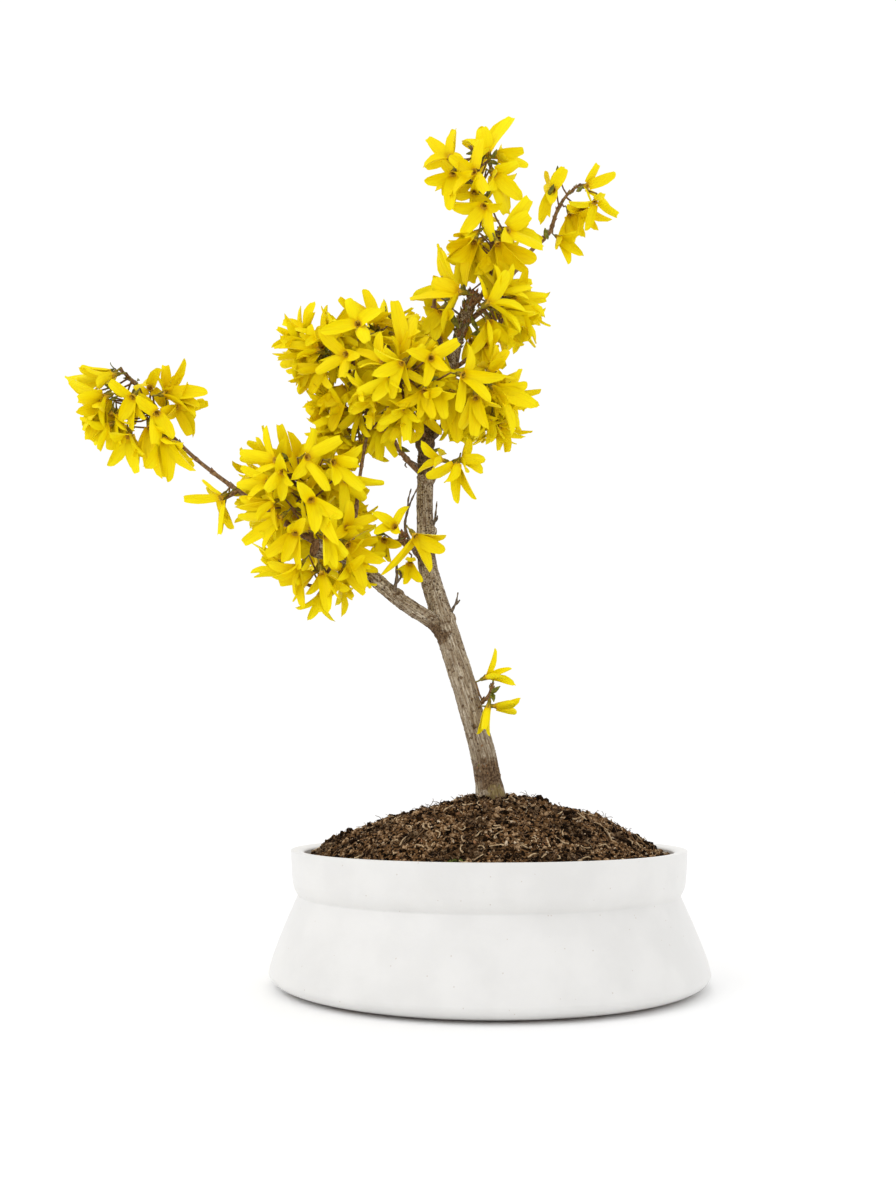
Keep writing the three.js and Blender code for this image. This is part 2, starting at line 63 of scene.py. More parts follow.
# The pot and its soil
POT_RADIUS = 120
POT_HEIGHT = 72
POT_WALL = 5
POT_FLOOR = 7
FOOT_RADIUS = 102.4
BELLY_HEIGHT = 7.4
NECK_RADIUS = 105.1
NECK_HEIGHT = 47.9
BAND_RADIUS = 109.6
BAND_HEIGHT = 61.8
RIM_RADIUS = 107.2
SOIL_RADIUS = RIM_RADIUS - POT_WALL
SOIL_EDGE_HEIGHT = 66.5
SOIL_RISE = 33.5
SOIL_ROUNDNESS = 1.7
SOIL_DEPTH = 18
SOIL_TAPER = 0.97
GROUND = 97
WOOD_UNDERGROUND = 1.6

# Clods that make the mound uneven: a few big ones as x, y, height and spread, and many small ones.
# Then the moss, and the litter, which lies on slopes down to the steepest
BIG_CLODS = [[-84, 4, 1.6, 13], [-41, 2, -3.6, 16], [-14, -8, 0.8, 12], [24, 3, 1.4, 14], [62, 0, 3.6, 21],
             [-30, -58, 1.8, 18], [38, -60, -1.6, 17], [-52, 46, 2.2, 20], [34, 52, -1.8, 18],
             [2, 74, 1.8, 16]]
CLODS = 90
CLODS_REACH = 96
CLOD_SPREAD = 7.5
CLOD_HEIGHTS = (-1.4, 2)
CLOD_SEED = 5
CLOD_FADE = 8
MOSS_PLACE = (-20, -94)
MOSS_REACH = 4.5
MOSS_LUMPS = 110
STEEPEST_LITTER = 0.2
ANY_TURN = (6.3, 6.3, 6.3)

# How finely the bodies are divided
POT_SIDES = 192
SOIL_SIDES = 260
SOIL_RINGS = 96
SKIN_FACE = 0.62
SKIN_ROUNDS = 5
CUT_SIDES = 24
CUT_RINGS = 5

# Limbs: a route through given bends, and the radius at a fraction of the length
OLD_WOOD = {
    "trunk": dict(
        route=[[3.2, 0, 88], [-2, -1, 121], [-12.8, -4, 160], [-23.7, -3, 195.4], [-34.1, -1, 231.7],
               [-35.6, 1, 283], [-33.4, 0, 319], [-21.3, 3, 349.3], [-14.8, 4.5, 377], [-6.8, 6, 399.8]],
        girth=[[0, 10.4], [0.06, 7.6], [0.1, 7.2], [0.22, 6.6], [0.34, 6.8], [0.41, 6.1], [0.51, 4.7],
               [0.66, 4.7], [0.8, 3.7], [1, 2.9]]),
    "left_bough": dict(
        route=[[-23.7, -3, 194.6], [-50.8, -12, 211], [-77.2, -24, 231.5], [-95.3, -38, 235.4]],
        girth=[[0, 4.8], [0.4, 4], [0.88, 3.9], [0.95, 5.1], [1, 5.3]]),
    "knot_stub": dict(
        route=[[-35.2, 0, 242], [-41.5, -5, 243], [-46, -9, 243.4]],
        girth=[[0, 3.6], [1, 3.3]]),
}
YOUNG_SHOOTS = {
    "left_shoot": dict(
        route=[[-88, -31, 234.8], [-104.9, -28, 246], [-138.8, -25, 269.3], [-165, -22.5, 289.3],
               [-182, -21, 305.7]],
        girth=[[0, 1.9], [0.3, 1.5], [1, 1]]),
    "riser_shoot": dict(
        route=[[-77.2, -24, 232.3], [-74.6, -22, 256], [-73.1, -18, 276.6], [-69.3, -11, 307]],
        girth=[[0, 1.3], [1, 0.9]]),
    "centre_left_shoot": dict(
        route=[[-35.6, 1, 284], [-47.4, -10, 294], [-60.5, -20, 312], [-72, -20, 334]],
        girth=[[0, 1.75], [1, 1.1]]),
    "right_low_shoot": dict(
        route=[[-35.6, 1, 279], [-30, -5, 283.5], [-25.5, -9, 287]],
        girth=[[0, 1.75], [1, 1.4]]),
    "centre_front_shoot": dict(
        route=[[-35.2, 0, 304], [-38, -13, 310], [-43, -23, 317]],
        girth=[[0, 1.7], [1, 1.3]]),
    "centre_back_shoot": dict(
        route=[[-33, 0, 321], [-37, 14, 334], [-45, 26, 350]],
        girth=[[0, 1.8], [1, 1.3]]),
    "centre_top_shoot": dict(
        route=[[-33.3, 0, 319], [-43, -4, 333], [-53, -9, 352]],
        girth=[[0, 1.7], [1, 1.2]]),
    "upper_left_shoot": dict(
        route=[[-20, 3, 353], [-26.6, -6, 364], [-31, -11, 379]],
        girth=[[0, 1.4], [1, 0.9]]),
    "upper_right_shoot": dict(
        route=[[-21.3, 3, 349.3], [-7.8, -6, 357.3], [5.1, -8, 371.8]],
        girth=[[0, 1.4], [1, 1]]),
    "top_shoot": dict(
        route=[[-11.7, 5, 387.4], [-0.9, 4, 399.6], [4.6, 3, 413.1], [0.5, 2, 449]],
        girth=[[0, 1.6], [1, 1.05]]),
    "right_top_shoot": dict(
        route=[[-15.1, 4.5, 376.5], [2.9, 10, 395.8], [28.8, 20, 432.8], [41.4, 24, 447.5]],
        girth=[[0, 1.7], [0.6, 1.45], [1, 1.3]]),
}

# Masses of blossom: stem, heart, reach, sprays and seed as in the part, and for the finer sprays
# a seed of their own, how far they droop and how broad their petals are. A thin mass has the depth
# of its middle too, and fill counts the rounds of finer sprays that it has room for
MASSES = {
    "left_tip": dict(
        middle=-27, breadth=0.98,
        stem=[[-182, -21, 305.7], [-193, -20, 320.1], [-200.9, -18, 333.8], [-212.5, -17, 344.3]],
        heart=[-204, -20, 316], reach=[42, 34, 37], sprays=5, seed=26, fine=13, droop=0.5, fill=1),
    "left_spray": dict(
        middle=-24, breadth=0.8, stem=[[-140, -25, 270.8], [-145.5, -27, 266.5], [-149, -28, 264]],
        heart=[-155, -27, 261], reach=[17, 15, 18], sprays=1, seed=12, fine=53, fill=0),
    "left_top": dict(
        breadth=0.86, stem=[[-98, -29.3, 242], [-102, -24, 262], [-108, -16, 284]],
        heart=[-110, -17, 276], reach=[38, 32, 34], sprays=4, seed=54, fine=19),
    "left_bottom": dict(
        breadth=0.84, stem=[[-84, -28, 234.2], [-89, -28, 224], [-96, -27, 216]],
        heart=[-95, -27, 232], reach=[35, 30, 33], sprays=4, seed=43, fine=2),
    "left_back": dict(
        breadth=0.84, stem=[[-77.2, -24, 232.3], [-84, -2, 244], [-97, 14, 262], [-102, 19, 276]],
        heart=[-99, 17, 262], reach=[33, 30, 32], sprays=4, seed=54, fine=18),
    "knot_spray": dict(
        breadth=0.86, stem=[[-46, -9, 243.4], [-49, -14, 244], [-48, -20, 246]],
        heart=[-45, -18, 238], reach=[24, 22, 25], sprays=3, seed=1, fine=59, fill=0),
    "centre_low": dict(
        breadth=0.88, stem=[[-69.3, -11, 307], [-74, -5, 315], [-82, -2, 326]],
        heart=[-78, -5, 319], reach=[30, 27, 29], sprays=3, seed=38, fine=11),
    "centre_left": dict(
        breadth=0.92, stem=[[-72, -20, 334], [-84, -14, 347], [-98, -8, 362]],
        heart=[-96.4, -9, 357.8], reach=[27, 27, 31], sprays=3, seed=44, fine=12),
    "centre_top": dict(
        breadth=0.95, stem=[[-53, -9, 352], [-60, -12, 364], [-66, -14, 376]],
        heart=[-63, -13, 371], reach=[27, 27, 24], sprays=3, seed=58, fine=1),
    "centre_front": dict(
        breadth=0.92, stem=[[-43, -23, 317], [-48, -32, 325], [-50, -36, 335]],
        heart=[-48.3, -36, 326], reach=[30, 26, 32], sprays=4, seed=35, fine=16),
    "centre_right": dict(
        breadth=0.92, stem=[[-29.8, 1.1, 331], [-15, -8, 330], [0, -14, 333], [8, -16, 338]],
        heart=[-2.9, -13, 329], reach=[32, 30, 32], sprays=4, seed=49, fine=17),
    "centre_back": dict(
        breadth=0.92, stem=[[-45, 26, 350], [-52, 33, 362], [-58, 38, 376]],
        heart=[-52.5, 34, 364], reach=[37, 30, 35], sprays=3, seed=35, fine=13),
    "right_low": dict(
        breadth=0.9, stem=[[-25.5, -9, 287], [-21, -13, 289], [-17, -17, 289]],
        heart=[-20, -17, 287], reach=[22, 20, 21], sprays=2, seed=20, fine=57, fill=0),
    "upper_left": dict(
        middle=2, breadth=1.12, stem=[[-31, -11, 379], [-30, -11, 391], [-25, -9, 405]],
        heart=[-25.5, -8, 399], reach=[23, 24, 28], sprays=3, seed=36, fine=10, fill=0),
    "upper_mid": dict(
        middle=3, breadth=1.12, stem=[[4.6, 3, 412], [9, -3, 421], [11, -6, 433]],
        heart=[4, 0, 429], reach=[28, 26, 25], sprays=3, seed=29, fine=12),
    "upper_right": dict(
        middle=4, breadth=0.92, stem=[[5.1, -8, 371.8], [12, -5, 382], [16, 0, 394]],
        heart=[15.8, 1, 389], reach=[24, 26, 28], sprays=3, seed=3, fine=1),
    "top": dict(
        middle=2, breadth=1.02, stem=[[0.5, 2, 449], [-5.4, 3, 475.9], [-9, 4, 497.3]],
        heart=[-4.8, 3, 475], reach=[34, 32, 36], sprays=5, seed=46, fine=13, fill=1),
    "right_top": dict(
        middle=25, breadth=0.95, stem=[[41.4, 24, 447.5], [46.5, 26, 463.3], [53, 27, 473.8], [61, 28, 481]],
        heart=[59.5, 26, 461], reach=[27, 25, 31], sprays=3, seed=30, fine=6, fill=1),
    "trunk_sprout": dict(
        breadth=0.62, stem=[[-9, -3.3, 150], [0, -8, 156], [3, -9, 164]],
        heart=[5, -8, 159], reach=[18, 16, 26], sprays=2, seed=32, fine=59, fill=0),
}

# Spurs, dead twigs and stubs on the old wood: a route, and the radius at its foot and tip
SPURS = [
    ([[-21, -4, 201], [-20.2, -6, 205], [-18, -6.3, 209.5], [-17.4, -6, 212], [-16.8, -6, 215.5]], 1.1, 0.35),
    ([[-18.4, -6.2, 208.6], [-17, -6.5, 209.6], [-15.7, -6.4, 211.2]], 0.8, 0.5),
    ([[-32, -2, 252], [-30.4, -4, 257], [-29.5, -4.4, 263.1], [-28.9, -4, 269.4]], 1.0, 0.3),
    ([[-30, -4.2, 257.5], [-28.9, -5, 258.6], [-28.6, -5, 260.6]], 0.9, 0.5),
    ([[-45, -8, 246], [-47.1, -12, 253], [-45.4, -12.4, 262.3], [-43.1, -12, 268.7], [-39.7, -12, 275.7]],
     0.95, 0.4),
    ([[-45.4, -12.4, 262.3], [-45.2, -12.8, 268], [-43.6, -12.6, 274.6]], 0.7, 0.35),
    ([[-52, -13.5, 212], [-52.4, -17, 216], [-51.2, -18, 221.9], [-51.4, -18, 229.4]], 1.3, 0.8),
    ([[-51.8, -17.4, 219], [-49, -18.4, 222.5], [-50.1, -18.6, 227]], 0.8, 0.5),
    ([[-66, -20, 233], [-62.7, -25, 238.7], [-59.3, -26, 236.5], [-56.5, -26, 232.5]], 0.8, 0.3),
    ([[-36, -3, 287], [-42, -7, 291.5], [-45.1, -8, 292.1], [-47.4, -8, 289.7], [-46.2, -8.4, 288]],
     0.7, 0.35),
    ([[-33, -3, 305], [-27.2, -8, 310.6], [-23.7, -8, 322.6]], 1.6, 1.2),
    ([[-20, 2, 352], [-27.2, -10, 361.3], [-33.1, -10, 377.8]], 0.85, 0.5),
    ([[-13.5, 2, 383], [-19, -3, 385.5], [-22.5, -4, 389]], 0.8, 0.4),
]

# A flower, life size
STALK_LENGTH = 8.5
TUBE_LENGTH = 5
TUBE_RADIUS = 1.7
PETALS = 4
PETAL_LENGTH = 20.5
PETAL_WIDTH = 8
PETAL_THICKNESS = 0.5
PETAL_COLUMNS = 4
PETAL_SHARES = [0, 0.2, 0.42, 0.62, 0.8, 0.93, 1]
PETAL_WIDTHS = [0.8, 0.94, 1, 0.97]
PETAL_STEPS = len(PETAL_SHARES) - 1
USUAL_TIP = 0.4
REFLEX = 0.28
FLOWER_SPLAY = (0.4, 1.0)
FLOWER_OPENING = (0.42, 1.08)
PETAL_STRAY = 0.16
FLOWER_SIZE = (0.86, 1.1)
SIZES_TRIED = (1, 0.87, 0.75)
USUAL_DROOP = 0.3

# How a mass grows
GOLDEN_ANGLE = math.pi * (3 - math.sqrt(5))
FLOWER_REACH = 15.5
SHORTEST_TWIG = 2.5
OWN_SPACE = 1.1
PETAL_SPACE = 1.12
STEM_SAMPLES = 24
FIRST_SAMPLE = 3
FLOWER_ROOM = 5
LIMB_ROOM = 0.8
WOOD_NEARBY = 40
PETALS_NEARBY = 26
FAR_AWAY = 1e6
PETAL_ROOM = 1.0
TOUCHES_ALLOWED = 6
NEAREST_BLOSSOM = -90
TWIG_RISE = (0, 0, 8)
FRONT_PULL = 0.9
NEAR_STRAY = 0.3
LEAST_PETAL = 0.72
SHORTEST_REACH_SQUARED = 60
PICTURE_SIZES = (0.9, 1.2)
PAIR_GAP = 6
THIRD_GAP = 12
PAIR_SPREAD = 0.92
WORD = 0xFFFFFFFF

# Nodes along a shoot or stem, and a stem's radius
FIRST_NODE = 4.0
NODE_EVERY = 13.0
STEM_GIRTH = [[0, 1.35], [1, 0.8]]

# Where the picture was taken from: place, tilt above the level in degrees, lens and picture size
CAMERA_PLACE = (-22.5, -684, 115)
CAMERA_TILT = 8.19
CAMERA_LENS = 36.15
CAMERA_SENSOR = 36
PICTURE_SIZE = (896, 1195)

# The stage: how far the floor reaches, the place that is lit, and each light's place, size and power
FLOOR = 6000
LIT_PLACE = (0, 0, 220)
LIGHTS = [("key_light", (-1100, -900, 1500), 900, 5), ("back_light", (300, 1300, 1200), 1000, 2)]

# Outlines of a bud and of the tube that the petals spring from, as radius and height, the anthers
# and pistil as place, radius and half height, and how far the sepals spread
BUD_OUTLINE = [(0, -0.4), (0.55, 0.1), (0.72, 0.9), (0.5, 2.0), (0.2, 2.9), (0, 3.4)]
CUP_OUTLINE = [(0, 0), (0.75, 0.15), (0.95, 1.6), (1.4, 3.6), (2.35, 5.5), (2.0, 5.6), (1.1, 3.7),
               (0.6, 2.4), (0, 2.2)]
HEART_PARTS = [((0.5, 0, 4.4), 0.42, 0.9), ((-0.5, 0.1, 4.5), 0.42, 0.9), ((0, -0.1, 4.9), 0.3, 0.6)]
SEPALS_SPREAD = (0.15, 0.4, 0.7)
LEAF_LENGTH = 7.4

# Flowers that stand at the front of each mass, as the picture shows them: the throat's place in
# the picture and its depth, then each petal's tip in the picture and how far it comes forward
FRONT_FLOWERS = {
    "left_tip": [
        ((112, 375), -34, [(79, 369, 0), (100, 391, 0.3), (90, 376, 0.5), (118, 386, -0.6)]),
        ((101, 404), -38, [(89, 441, 0.1), (109, 438, 0.4), (84, 418, 0.1), (104, 418, 0.9)]),
        ((117, 417), -33, [(97, 441, 0.2), (122, 446, 0.2), (110, 450, 0.5), (128, 437, 0.6)]),
        ((150, 428), -37, [(151, 469, 0), (135, 456, 0.2), (163, 478, 0.2), (167, 440, 0.6)]),
        ((105, 397), -40, [(66, 377, 0), (81, 405, 0.3), (83, 430, 0), (104, 428, 0.6)]),
        ((112, 415), -37, [(93, 440, 0.2), (118, 446, 0.4), (100, 408, -0.5), (130, 430, 0.2)]),
        ((129, 436), -36, [(107, 464, 0), (136, 472, 0), (144, 457, 0.3), (120, 444, 0.8)]),
        ((133, 397), -42, [(132, 429, 0.2), (144, 420, 0.4), (121, 420, 0.3), (112, 384, 0.1)]),
        ((157, 413), -43, [(172, 438, 0.4), (158, 446, 0.3), (143, 402, 0.3), (171, 402, -0.5)]),
        ((165, 440), -41, [(194, 470, 0), (168, 480, 0), (151, 469, 0.1), (183, 451, 0.5)]),
        ((166, 394), -38, [(184, 359, 0), (207, 393, 0), (199, 405, 0.3), (196, 418, 0.1)]),
        ((150, 388), -26, [(164, 377, 0), (143, 396, 0.5), (160, 400, 0.2), (138, 379, 0)]),
    ],
    "left_spray": [
        ((221, 498), -30, [(184, 500, 0), (203, 484, 0.2), (218, 536, 0), (230, 525, -0.4)]),
    ],
    "left_top": [
        ((307, 457), -52, [(316, 429, 0.2), (342, 438, 0.1), (329, 493, 0.2), (294, 480, 0.4)]),
        ((333, 462), -44, [(362, 448, 0), (358, 469, 0.3), (365, 490, 0.1), (338, 488, 0.5)]),
        ((275, 460), -44, [(267, 427, 0), (239, 452, 0), (283, 492, 0.4), (252, 474, 0.4)]),
        ((283, 472), -50, [(281, 500, 0.2), (292, 488, 0.5), (270, 492, 0.4), (285, 464, 0.9)]),
        ((268, 482), -44, [(236, 485, 0), (243, 473, 0.2), (250, 499, 0.3), (274, 504, 0.3)]),
        ((346, 480), -36, [(384, 483, 0), (364, 499, 0.1), (345, 512, 0.3), (330, 478, 0.5)]),
    ],
    "left_bottom": [
        ((272, 503), -46, [(240, 499, 0), (240, 509, 0.1), (258, 522, 0.3), (277, 530, 0.4)]),
        ((280, 518), -42, [(243, 543, -0.2), (262, 547, 0.2), (283, 552, 0.3), (237, 516, -0.2)]),
        ((295, 533), -46, [(267, 556, 0.1), (284, 562, 0.3), (300, 570, 0.3), (308, 525, 0.5)]),
        ((299, 566), -46, [(302, 606, 0), (293, 594, 0.3), (277, 581, 0), (267, 563, 0)]),
        ((322, 573), -44, [(328, 611, 0), (307, 594, 0), (337, 600, 0.3), (347, 590, -0.3)]),
        ((311, 500), -58, [(342, 518, 0.2), (338, 544, 0.1), (316, 533, 0.4), (302, 490, 0.3)]),
        ((326, 536), -52, [(337, 567, 0.1), (346, 556, 0.2), (336, 520, 0.3), (327, 566, 0.4)]),
        ((348, 545), -42, [(364, 587, 0), (378, 540, 0), (385, 562, 0.1), (338, 562, 0.4)]),
        ((347, 528), -40, [(377, 517, 0), (362, 531, 0.3), (335, 541, 0.1), (352, 506, 0.1)]),
    ],
    "knot_spray": [
        ((395, 527), -34, [(408, 505, 0), (376, 516, 0.1), (377, 534, 0.2), (399, 535, 0.6)]),
        ((415, 536), -42, [(445, 538, 0), (430, 570, 0.1), (382, 574, 0), (443, 552, -0.3)]),
        ((410, 563), -26, [(405, 584, 0.3), (419, 583, 0), (398, 570, 0.2), (411, 566, 0.9)]),
        ((384, 540), -22, [(390, 562, 0.3), (376, 558, 0.4), (400, 550, 0.4), (366, 546, 0)]),
    ],
    "centre_top": [
        ((358, 324), -38, [(349, 302, 0.4), (322, 333, 0.1), (367, 344, 0.5), (381, 316, 0.3)]),
        ((405, 347), -40, [(394, 299, 0), (412, 314, -0.3), (379, 337, 0.3), (418, 337, 0.5)]),
        ((376, 322), -26, [(364, 289, 0), (389, 320, 0.3), (352, 300, 0), (398, 333, 0.2)]),
    ],
    "centre_left": [
        ((346, 354), -34, [(320, 334, 0.3), (316, 372, 0.3), (341, 379, 0.5), (358, 364, 0.8)]),
        ((317, 350), -24, [(281, 337, 0), (309, 326, 0.2), (280, 348, -0.2), (297, 360, 0.4)]),
        ((325, 370), -24, [(291, 366, 0), (300, 378, 0.3), (309, 391, 0), (331, 392, 0.5)]),
        ((346, 388), -20, [(318, 405, 0), (330, 428, 0), (353, 414, 0.5), (320, 388, -0.2)]),
        ((360, 413), -14, [(352, 441, 0), (368, 438, 0.3), (341, 431, 0), (337, 414, -0.4)]),
        ((322, 347), -18, [(320, 323, 0), (304, 342, 0.4), (338, 340, 0.5), (310, 366, 0.6)]),
    ],
    "centre_low": [
        ((382, 430), -14, [(371, 454, 0), (381, 461, 0), (396, 457, 0.2), (400, 436, 0.2)]),
        ((362, 388), -26, [(350, 412, 0.1), (372, 411, 0.3), (340, 398, 0), (372, 378, 0.6)]),
    ],
    "centre_front": [
        ((402, 363), -58, [(376, 356, 0.4), (375, 378, 0.3), (392, 397, 0.2), (410, 391, 0.4)]),
        ((431, 358), -60, [(410, 357, 0.6), (425, 388, 0.3), (447, 373, 0.5), (459, 343, 0)]),
        ((392, 380), -50, [(357, 392, 0), (388, 400, 0.5), (374, 400, 0.3), (400, 398, 0.6)]),
        ((424, 391), -54, [(397, 404, 0.1), (418, 418, 0.3), (432, 418, 0.4), (440, 398, 0.5)]),
        ((405, 408), -46, [(406, 441, 0), (418, 426, 0.4), (380, 424, 0.1), (395, 420, 0.6)]),
        ((438, 390), -50, [(432, 418, 0.2), (444, 419, 0.2), (452, 402, 0.3), (427, 402, 0.5)]),
        ((402, 402), -40, [(372, 399, 0), (378, 429, 0), (414, 416, 0.4), (390, 412, 0.6)]),
    ],
    "centre_right": [
        ((463, 375), -50, [(467, 344, 0.2), (505, 377, 0), (490, 401, 0.4), (458, 413, 0.1)]),
        ((495, 388), -40, [(526, 388, 0), (535, 404, 0), (509, 437, 0), (511, 404, 0.4)]),
        ((490, 370), -34, [(509, 351, 0.3), (517, 380, 0.1), (497, 346, -0.2), (504, 366, 0.6)]),
        ((476, 398), -44, [(475, 436, 0), (487, 429, 0.2), (462, 428, 0.1), (498, 412, 0.4)]),
        ((452, 393), -34, [(456, 442, 0), (446, 430, 0.1), (463, 424, 0.2), (440, 410, 0.2)]),
        ((487, 388), -28, [(525, 408, 0), (508, 418, 0.2), (517, 372, 0), (484, 410, 0.5)]),
    ],
    "right_low": [
        ((441, 460), -37, [(421, 448, 0.2), (417, 470, 0), (432, 472, 0.6), (446, 448, -0.5)]),
        ((457, 465), -39, [(446, 488, 0.4), (457, 502, 0), (475, 499, 0), (427, 477, 0)]),
        ((461, 460), -33, [(469, 437, 0.1), (486, 457, 0), (484, 468, -0.3), (466, 478, 0.6)]),
    ],
    "upper_left": [
        ((440, 339), 11, [(429, 322, 0.2), (453, 327, 0.1), (450, 357, 0.2), (428, 350, 0.2)]),
        ((459, 292), -24, [(440, 246, 0), (431, 283, 0.2), (410, 299, 0), (443, 331, 0)]),
        ((441, 312), -16, [(424, 331, 0), (434, 338, 0.2), (452, 322, 0.3), (424, 303, 0)]),
    ],
    "upper_mid": [
        ((474, 242), -18, [(448, 249, 0), (466, 284, 0.1), (486, 266, 0.2), (454, 264, 0.3)]),
        ((469, 246), -12, [(459, 284, 0), (473, 281, 0.2), (450, 262, 0), (480, 276, 0.1)]),
        ((498, 244), -21, [(502, 286, 0), (525, 272, 0.2), (477, 273, 0.1), (535, 259, -0.1)]),
        ((508, 230), -13, [(531, 200, 0), (545, 245, 0), (530, 219, 0.2), (504, 250, 0.5)]),
        ((498, 288), -16, [(478, 268, 0.1), (512, 274, 0.4), (532, 282, 0), (500, 268, 0.4)]),
    ],
    "upper_right": [
        ((471, 341), 13, [(460, 324, 0.2), (488, 331, 0.1), (481, 364, 0.2), (463, 361, 0.2)]),
        ((489, 303), -30, [(526, 311, 0.1), (508, 274, 0.2), (518, 336, 0.1), (480, 275, 0)]),
        ((500, 291), -26, [(532, 283, 0.1), (514, 268, 0.1), (528, 298, 0.3), (496, 270, 0.3)]),
        ((503, 313), -24, [(542, 309, 0), (528, 326, 0.2), (508, 346, 0.1), (534, 318, 0.3)]),
        ((515, 300), -20, [(548, 297, 0), (545, 315, 0), (532, 283, 0.1), (529, 339, 0)]),
        ((489, 322), -26, [(514, 347, 0), (470, 354, 0), (492, 348, 0.3), (517, 334, 0.3)]),
        ((485, 345), -20, [(505, 366, 0), (484, 368, 0.2), (470, 362, 0.1), (498, 340, 0.4)]),
    ],
    "top": [
        ((474, 172), -24, [(486, 197, 0.4), (454, 193, 0.3), (450, 160, 0.4), (480, 141, 0.1)]),
        ((450, 157), -16, [(427, 137, 0), (424, 165, 0), (455, 131, 0), (462, 171, 0.5)]),
        ((453, 174), -18, [(426, 184, 0), (449, 209, 0), (446, 189, -0.3), (469, 182, 0.5)]),
        ((487, 152), -9, [(463, 138, 0.1), (480, 131, 0), (512, 118, 0), (478, 168, 0.6)]),
        ((497, 156), -3, [(523, 154, 0), (529, 162, 0), (512, 172, 0.3), (503, 140, -0.2)]),
        ((494, 174), -14, [(521, 198, 0.1), (508, 213, 0), (517, 173, 0.2), (490, 196, 0.5)]),
        ((484, 206), -16, [(452, 206, 0), (463, 233, 0), (492, 241, 0), (498, 214, 0.3)]),
    ],
    "right_top": [
        ((553, 190), 16, [(541, 222, 0), (564, 171, -0.2), (549, 208, 0.5), (547, 180, -0.4)]),
        ((587, 186), 26, [(616, 172, 0), (599, 169, 0), (610, 208, 0), (592, 206, 0.5)]),
        ((582, 209), 32, [(611, 219, 0), (597, 229, 0.2), (577, 236, 0.3), (567, 213, 0.4)]),
        ((570, 214), 36, [(560, 240, 0), (573, 243, 0.2), (584, 235, 0.2), (586, 219, 0.5)]),
        ((559, 238), 30, [(569, 262, 0), (582, 256, 0), (574, 243, 0.4), (556, 254, 0.4)]),
    ],
    "trunk_sprout": [
        ((487, 677), -16, [(496, 649, 0), (509, 670, 0), (514, 683, 0), (504, 677, 0.5)]),
        ((496, 706), -14, [(520, 702, 0), (519, 711, 0.1), (515, 705, 0.5), (513, 708, -0.4)]),
        ((488, 708), -22, [(478, 734, 0), (487, 735, 0), (483, 731, 0.5), (482, 730, -0.3)]),
    ],
}

# Where the picture shows wood or sky between the flowers: its place there, how far back the view
# stays open, and the radius kept open
OPEN_VIEWS = [
    ((317, 548), -44, 4), ((469, 303), 2, 4.5), ((472, 322), 0, 4), ((457, 344), -2, 4),
    ((455, 356), -2, 3), ((544, 232), 16, 2.4), ((559, 207), 18, 2.4), ((575, 187), 20, 2.4),
    ((396, 541), -14, 3), ((427, 440), -4, 3.5), ((432, 456), -4, 3), ((113, 383), 60, 2.5),
    ((130, 428), 60, 2), ((141, 450), 60, 3), ((145, 414), 60, 1.6), ((486, 238), 60, 2),
    ((488, 272), 60, 2.6), ((473, 285), 60, 2.2), ((460, 302), 60, 2.2), ((517, 268), 60, 2.2),
    ((427, 313), 60, 2.2), ((488, 174), 60, 2.6), ((495, 159), 60, 2), ((456, 146), 60, 2.6),
    ((468, 222), 60, 3), ((511, 158), 60, 2), ((500, 217), 60, 3), ((524, 240), 60, 2),
    ((292, 562), 60, 2), ((316, 584), 60, 2.4), ((338, 501), -10, 1.6), ((387, 390), -8, 2),
    ((380, 374), -8, 2.4),
]


# Numbers, routes and spaces: the part's growing rule, written again
def seeded_numbers(seed):
    state = seed & WORD

    def draw():
        nonlocal state
        state = (state + 0x6D2B79F5) & WORD
        mixed = ((state ^ (state >> 15)) * (1 | state)) & WORD
        mixed = ((mixed + ((mixed ^ (mixed >> 7)) * (61 | mixed))) & WORD) ^ mixed
        return ((mixed ^ (mixed >> 14)) & WORD) / 2**32

    return draw


def between(draw, low, high):
    return low + (high - low) * draw()


def unit(vector):
    return vector / np.linalg.norm(vector)


def turned_about(vector, axis, angle):
    level = vector * math.cos(angle) + np.cross(axis, vector) * math.sin(angle)
    return level + axis * np.dot(axis, vector) * (1 - math.cos(angle))


def spun(angle, first=(1, 0, 0), second=(0, 1, 0)):
    """The way at an angle from the first of two ways toward the second"""
    return np.asarray(first) * math.cos(angle) + np.asarray(second) * math.sin(angle)


def round_ways(sides, *axes):
    """Ways spread evenly round a circle"""
    return [spun(2 * math.pi * count / sides, *axes) for count in range(sides)]


class Route:
    """A smooth line through given bends, read by its length."""

    def __init__(self, bends, steps=200):
        bends = np.array(bends, float)
        bends = np.vstack([2 * bends[0] - bends[1], bends, 2 * bends[-1] - bends[-2]])
        line = []
        for place in np.linspace(0, len(bends) - 3, steps + 1):
            first = min(int(place), len(bends) - 4)
            line.append(self.between_bends(bends[first:first + 4], place - first))
        self.line = np.array(line)
        hops = np.linalg.norm(np.diff(self.line, axis=0), axis=1)
        self.lengths = np.concatenate([[0], np.cumsum(hops)])
        self.length = self.lengths[-1]

    @staticmethod
    def between_bends(bends, share):
        lead, before, after, tail = bends
        gaps = np.linalg.norm(np.diff(bends, axis=0), axis=1) ** 0.5
        span = (after - before) / gaps[1]
        leave = ((before - lead) / gaps[0] - (after - lead) / (gaps[0] + gaps[1]) + span) * gaps[1]
        arrive = (span - (tail - before) / (gaps[1] + gaps[2]) + (tail - after) / gaps[2]) * gaps[1]
        square = 3 * (after - before) - 2 * leave - arrive
        cube = 2 * (before - after) + leave + arrive
        return before + leave * share + square * share**2 + cube * share**3

    def at(self, share):
        return np.array([np.interp(share * self.length, self.lengths, column) for column in self.line.T])

    def samples(self, spacing):
        """Places and shares of the length, evenly spaced"""
        shares = np.linspace(0, 1, max(3, round(self.length / spacing) + 1))
        return np.array([self.at(share) for share in shares]), shares


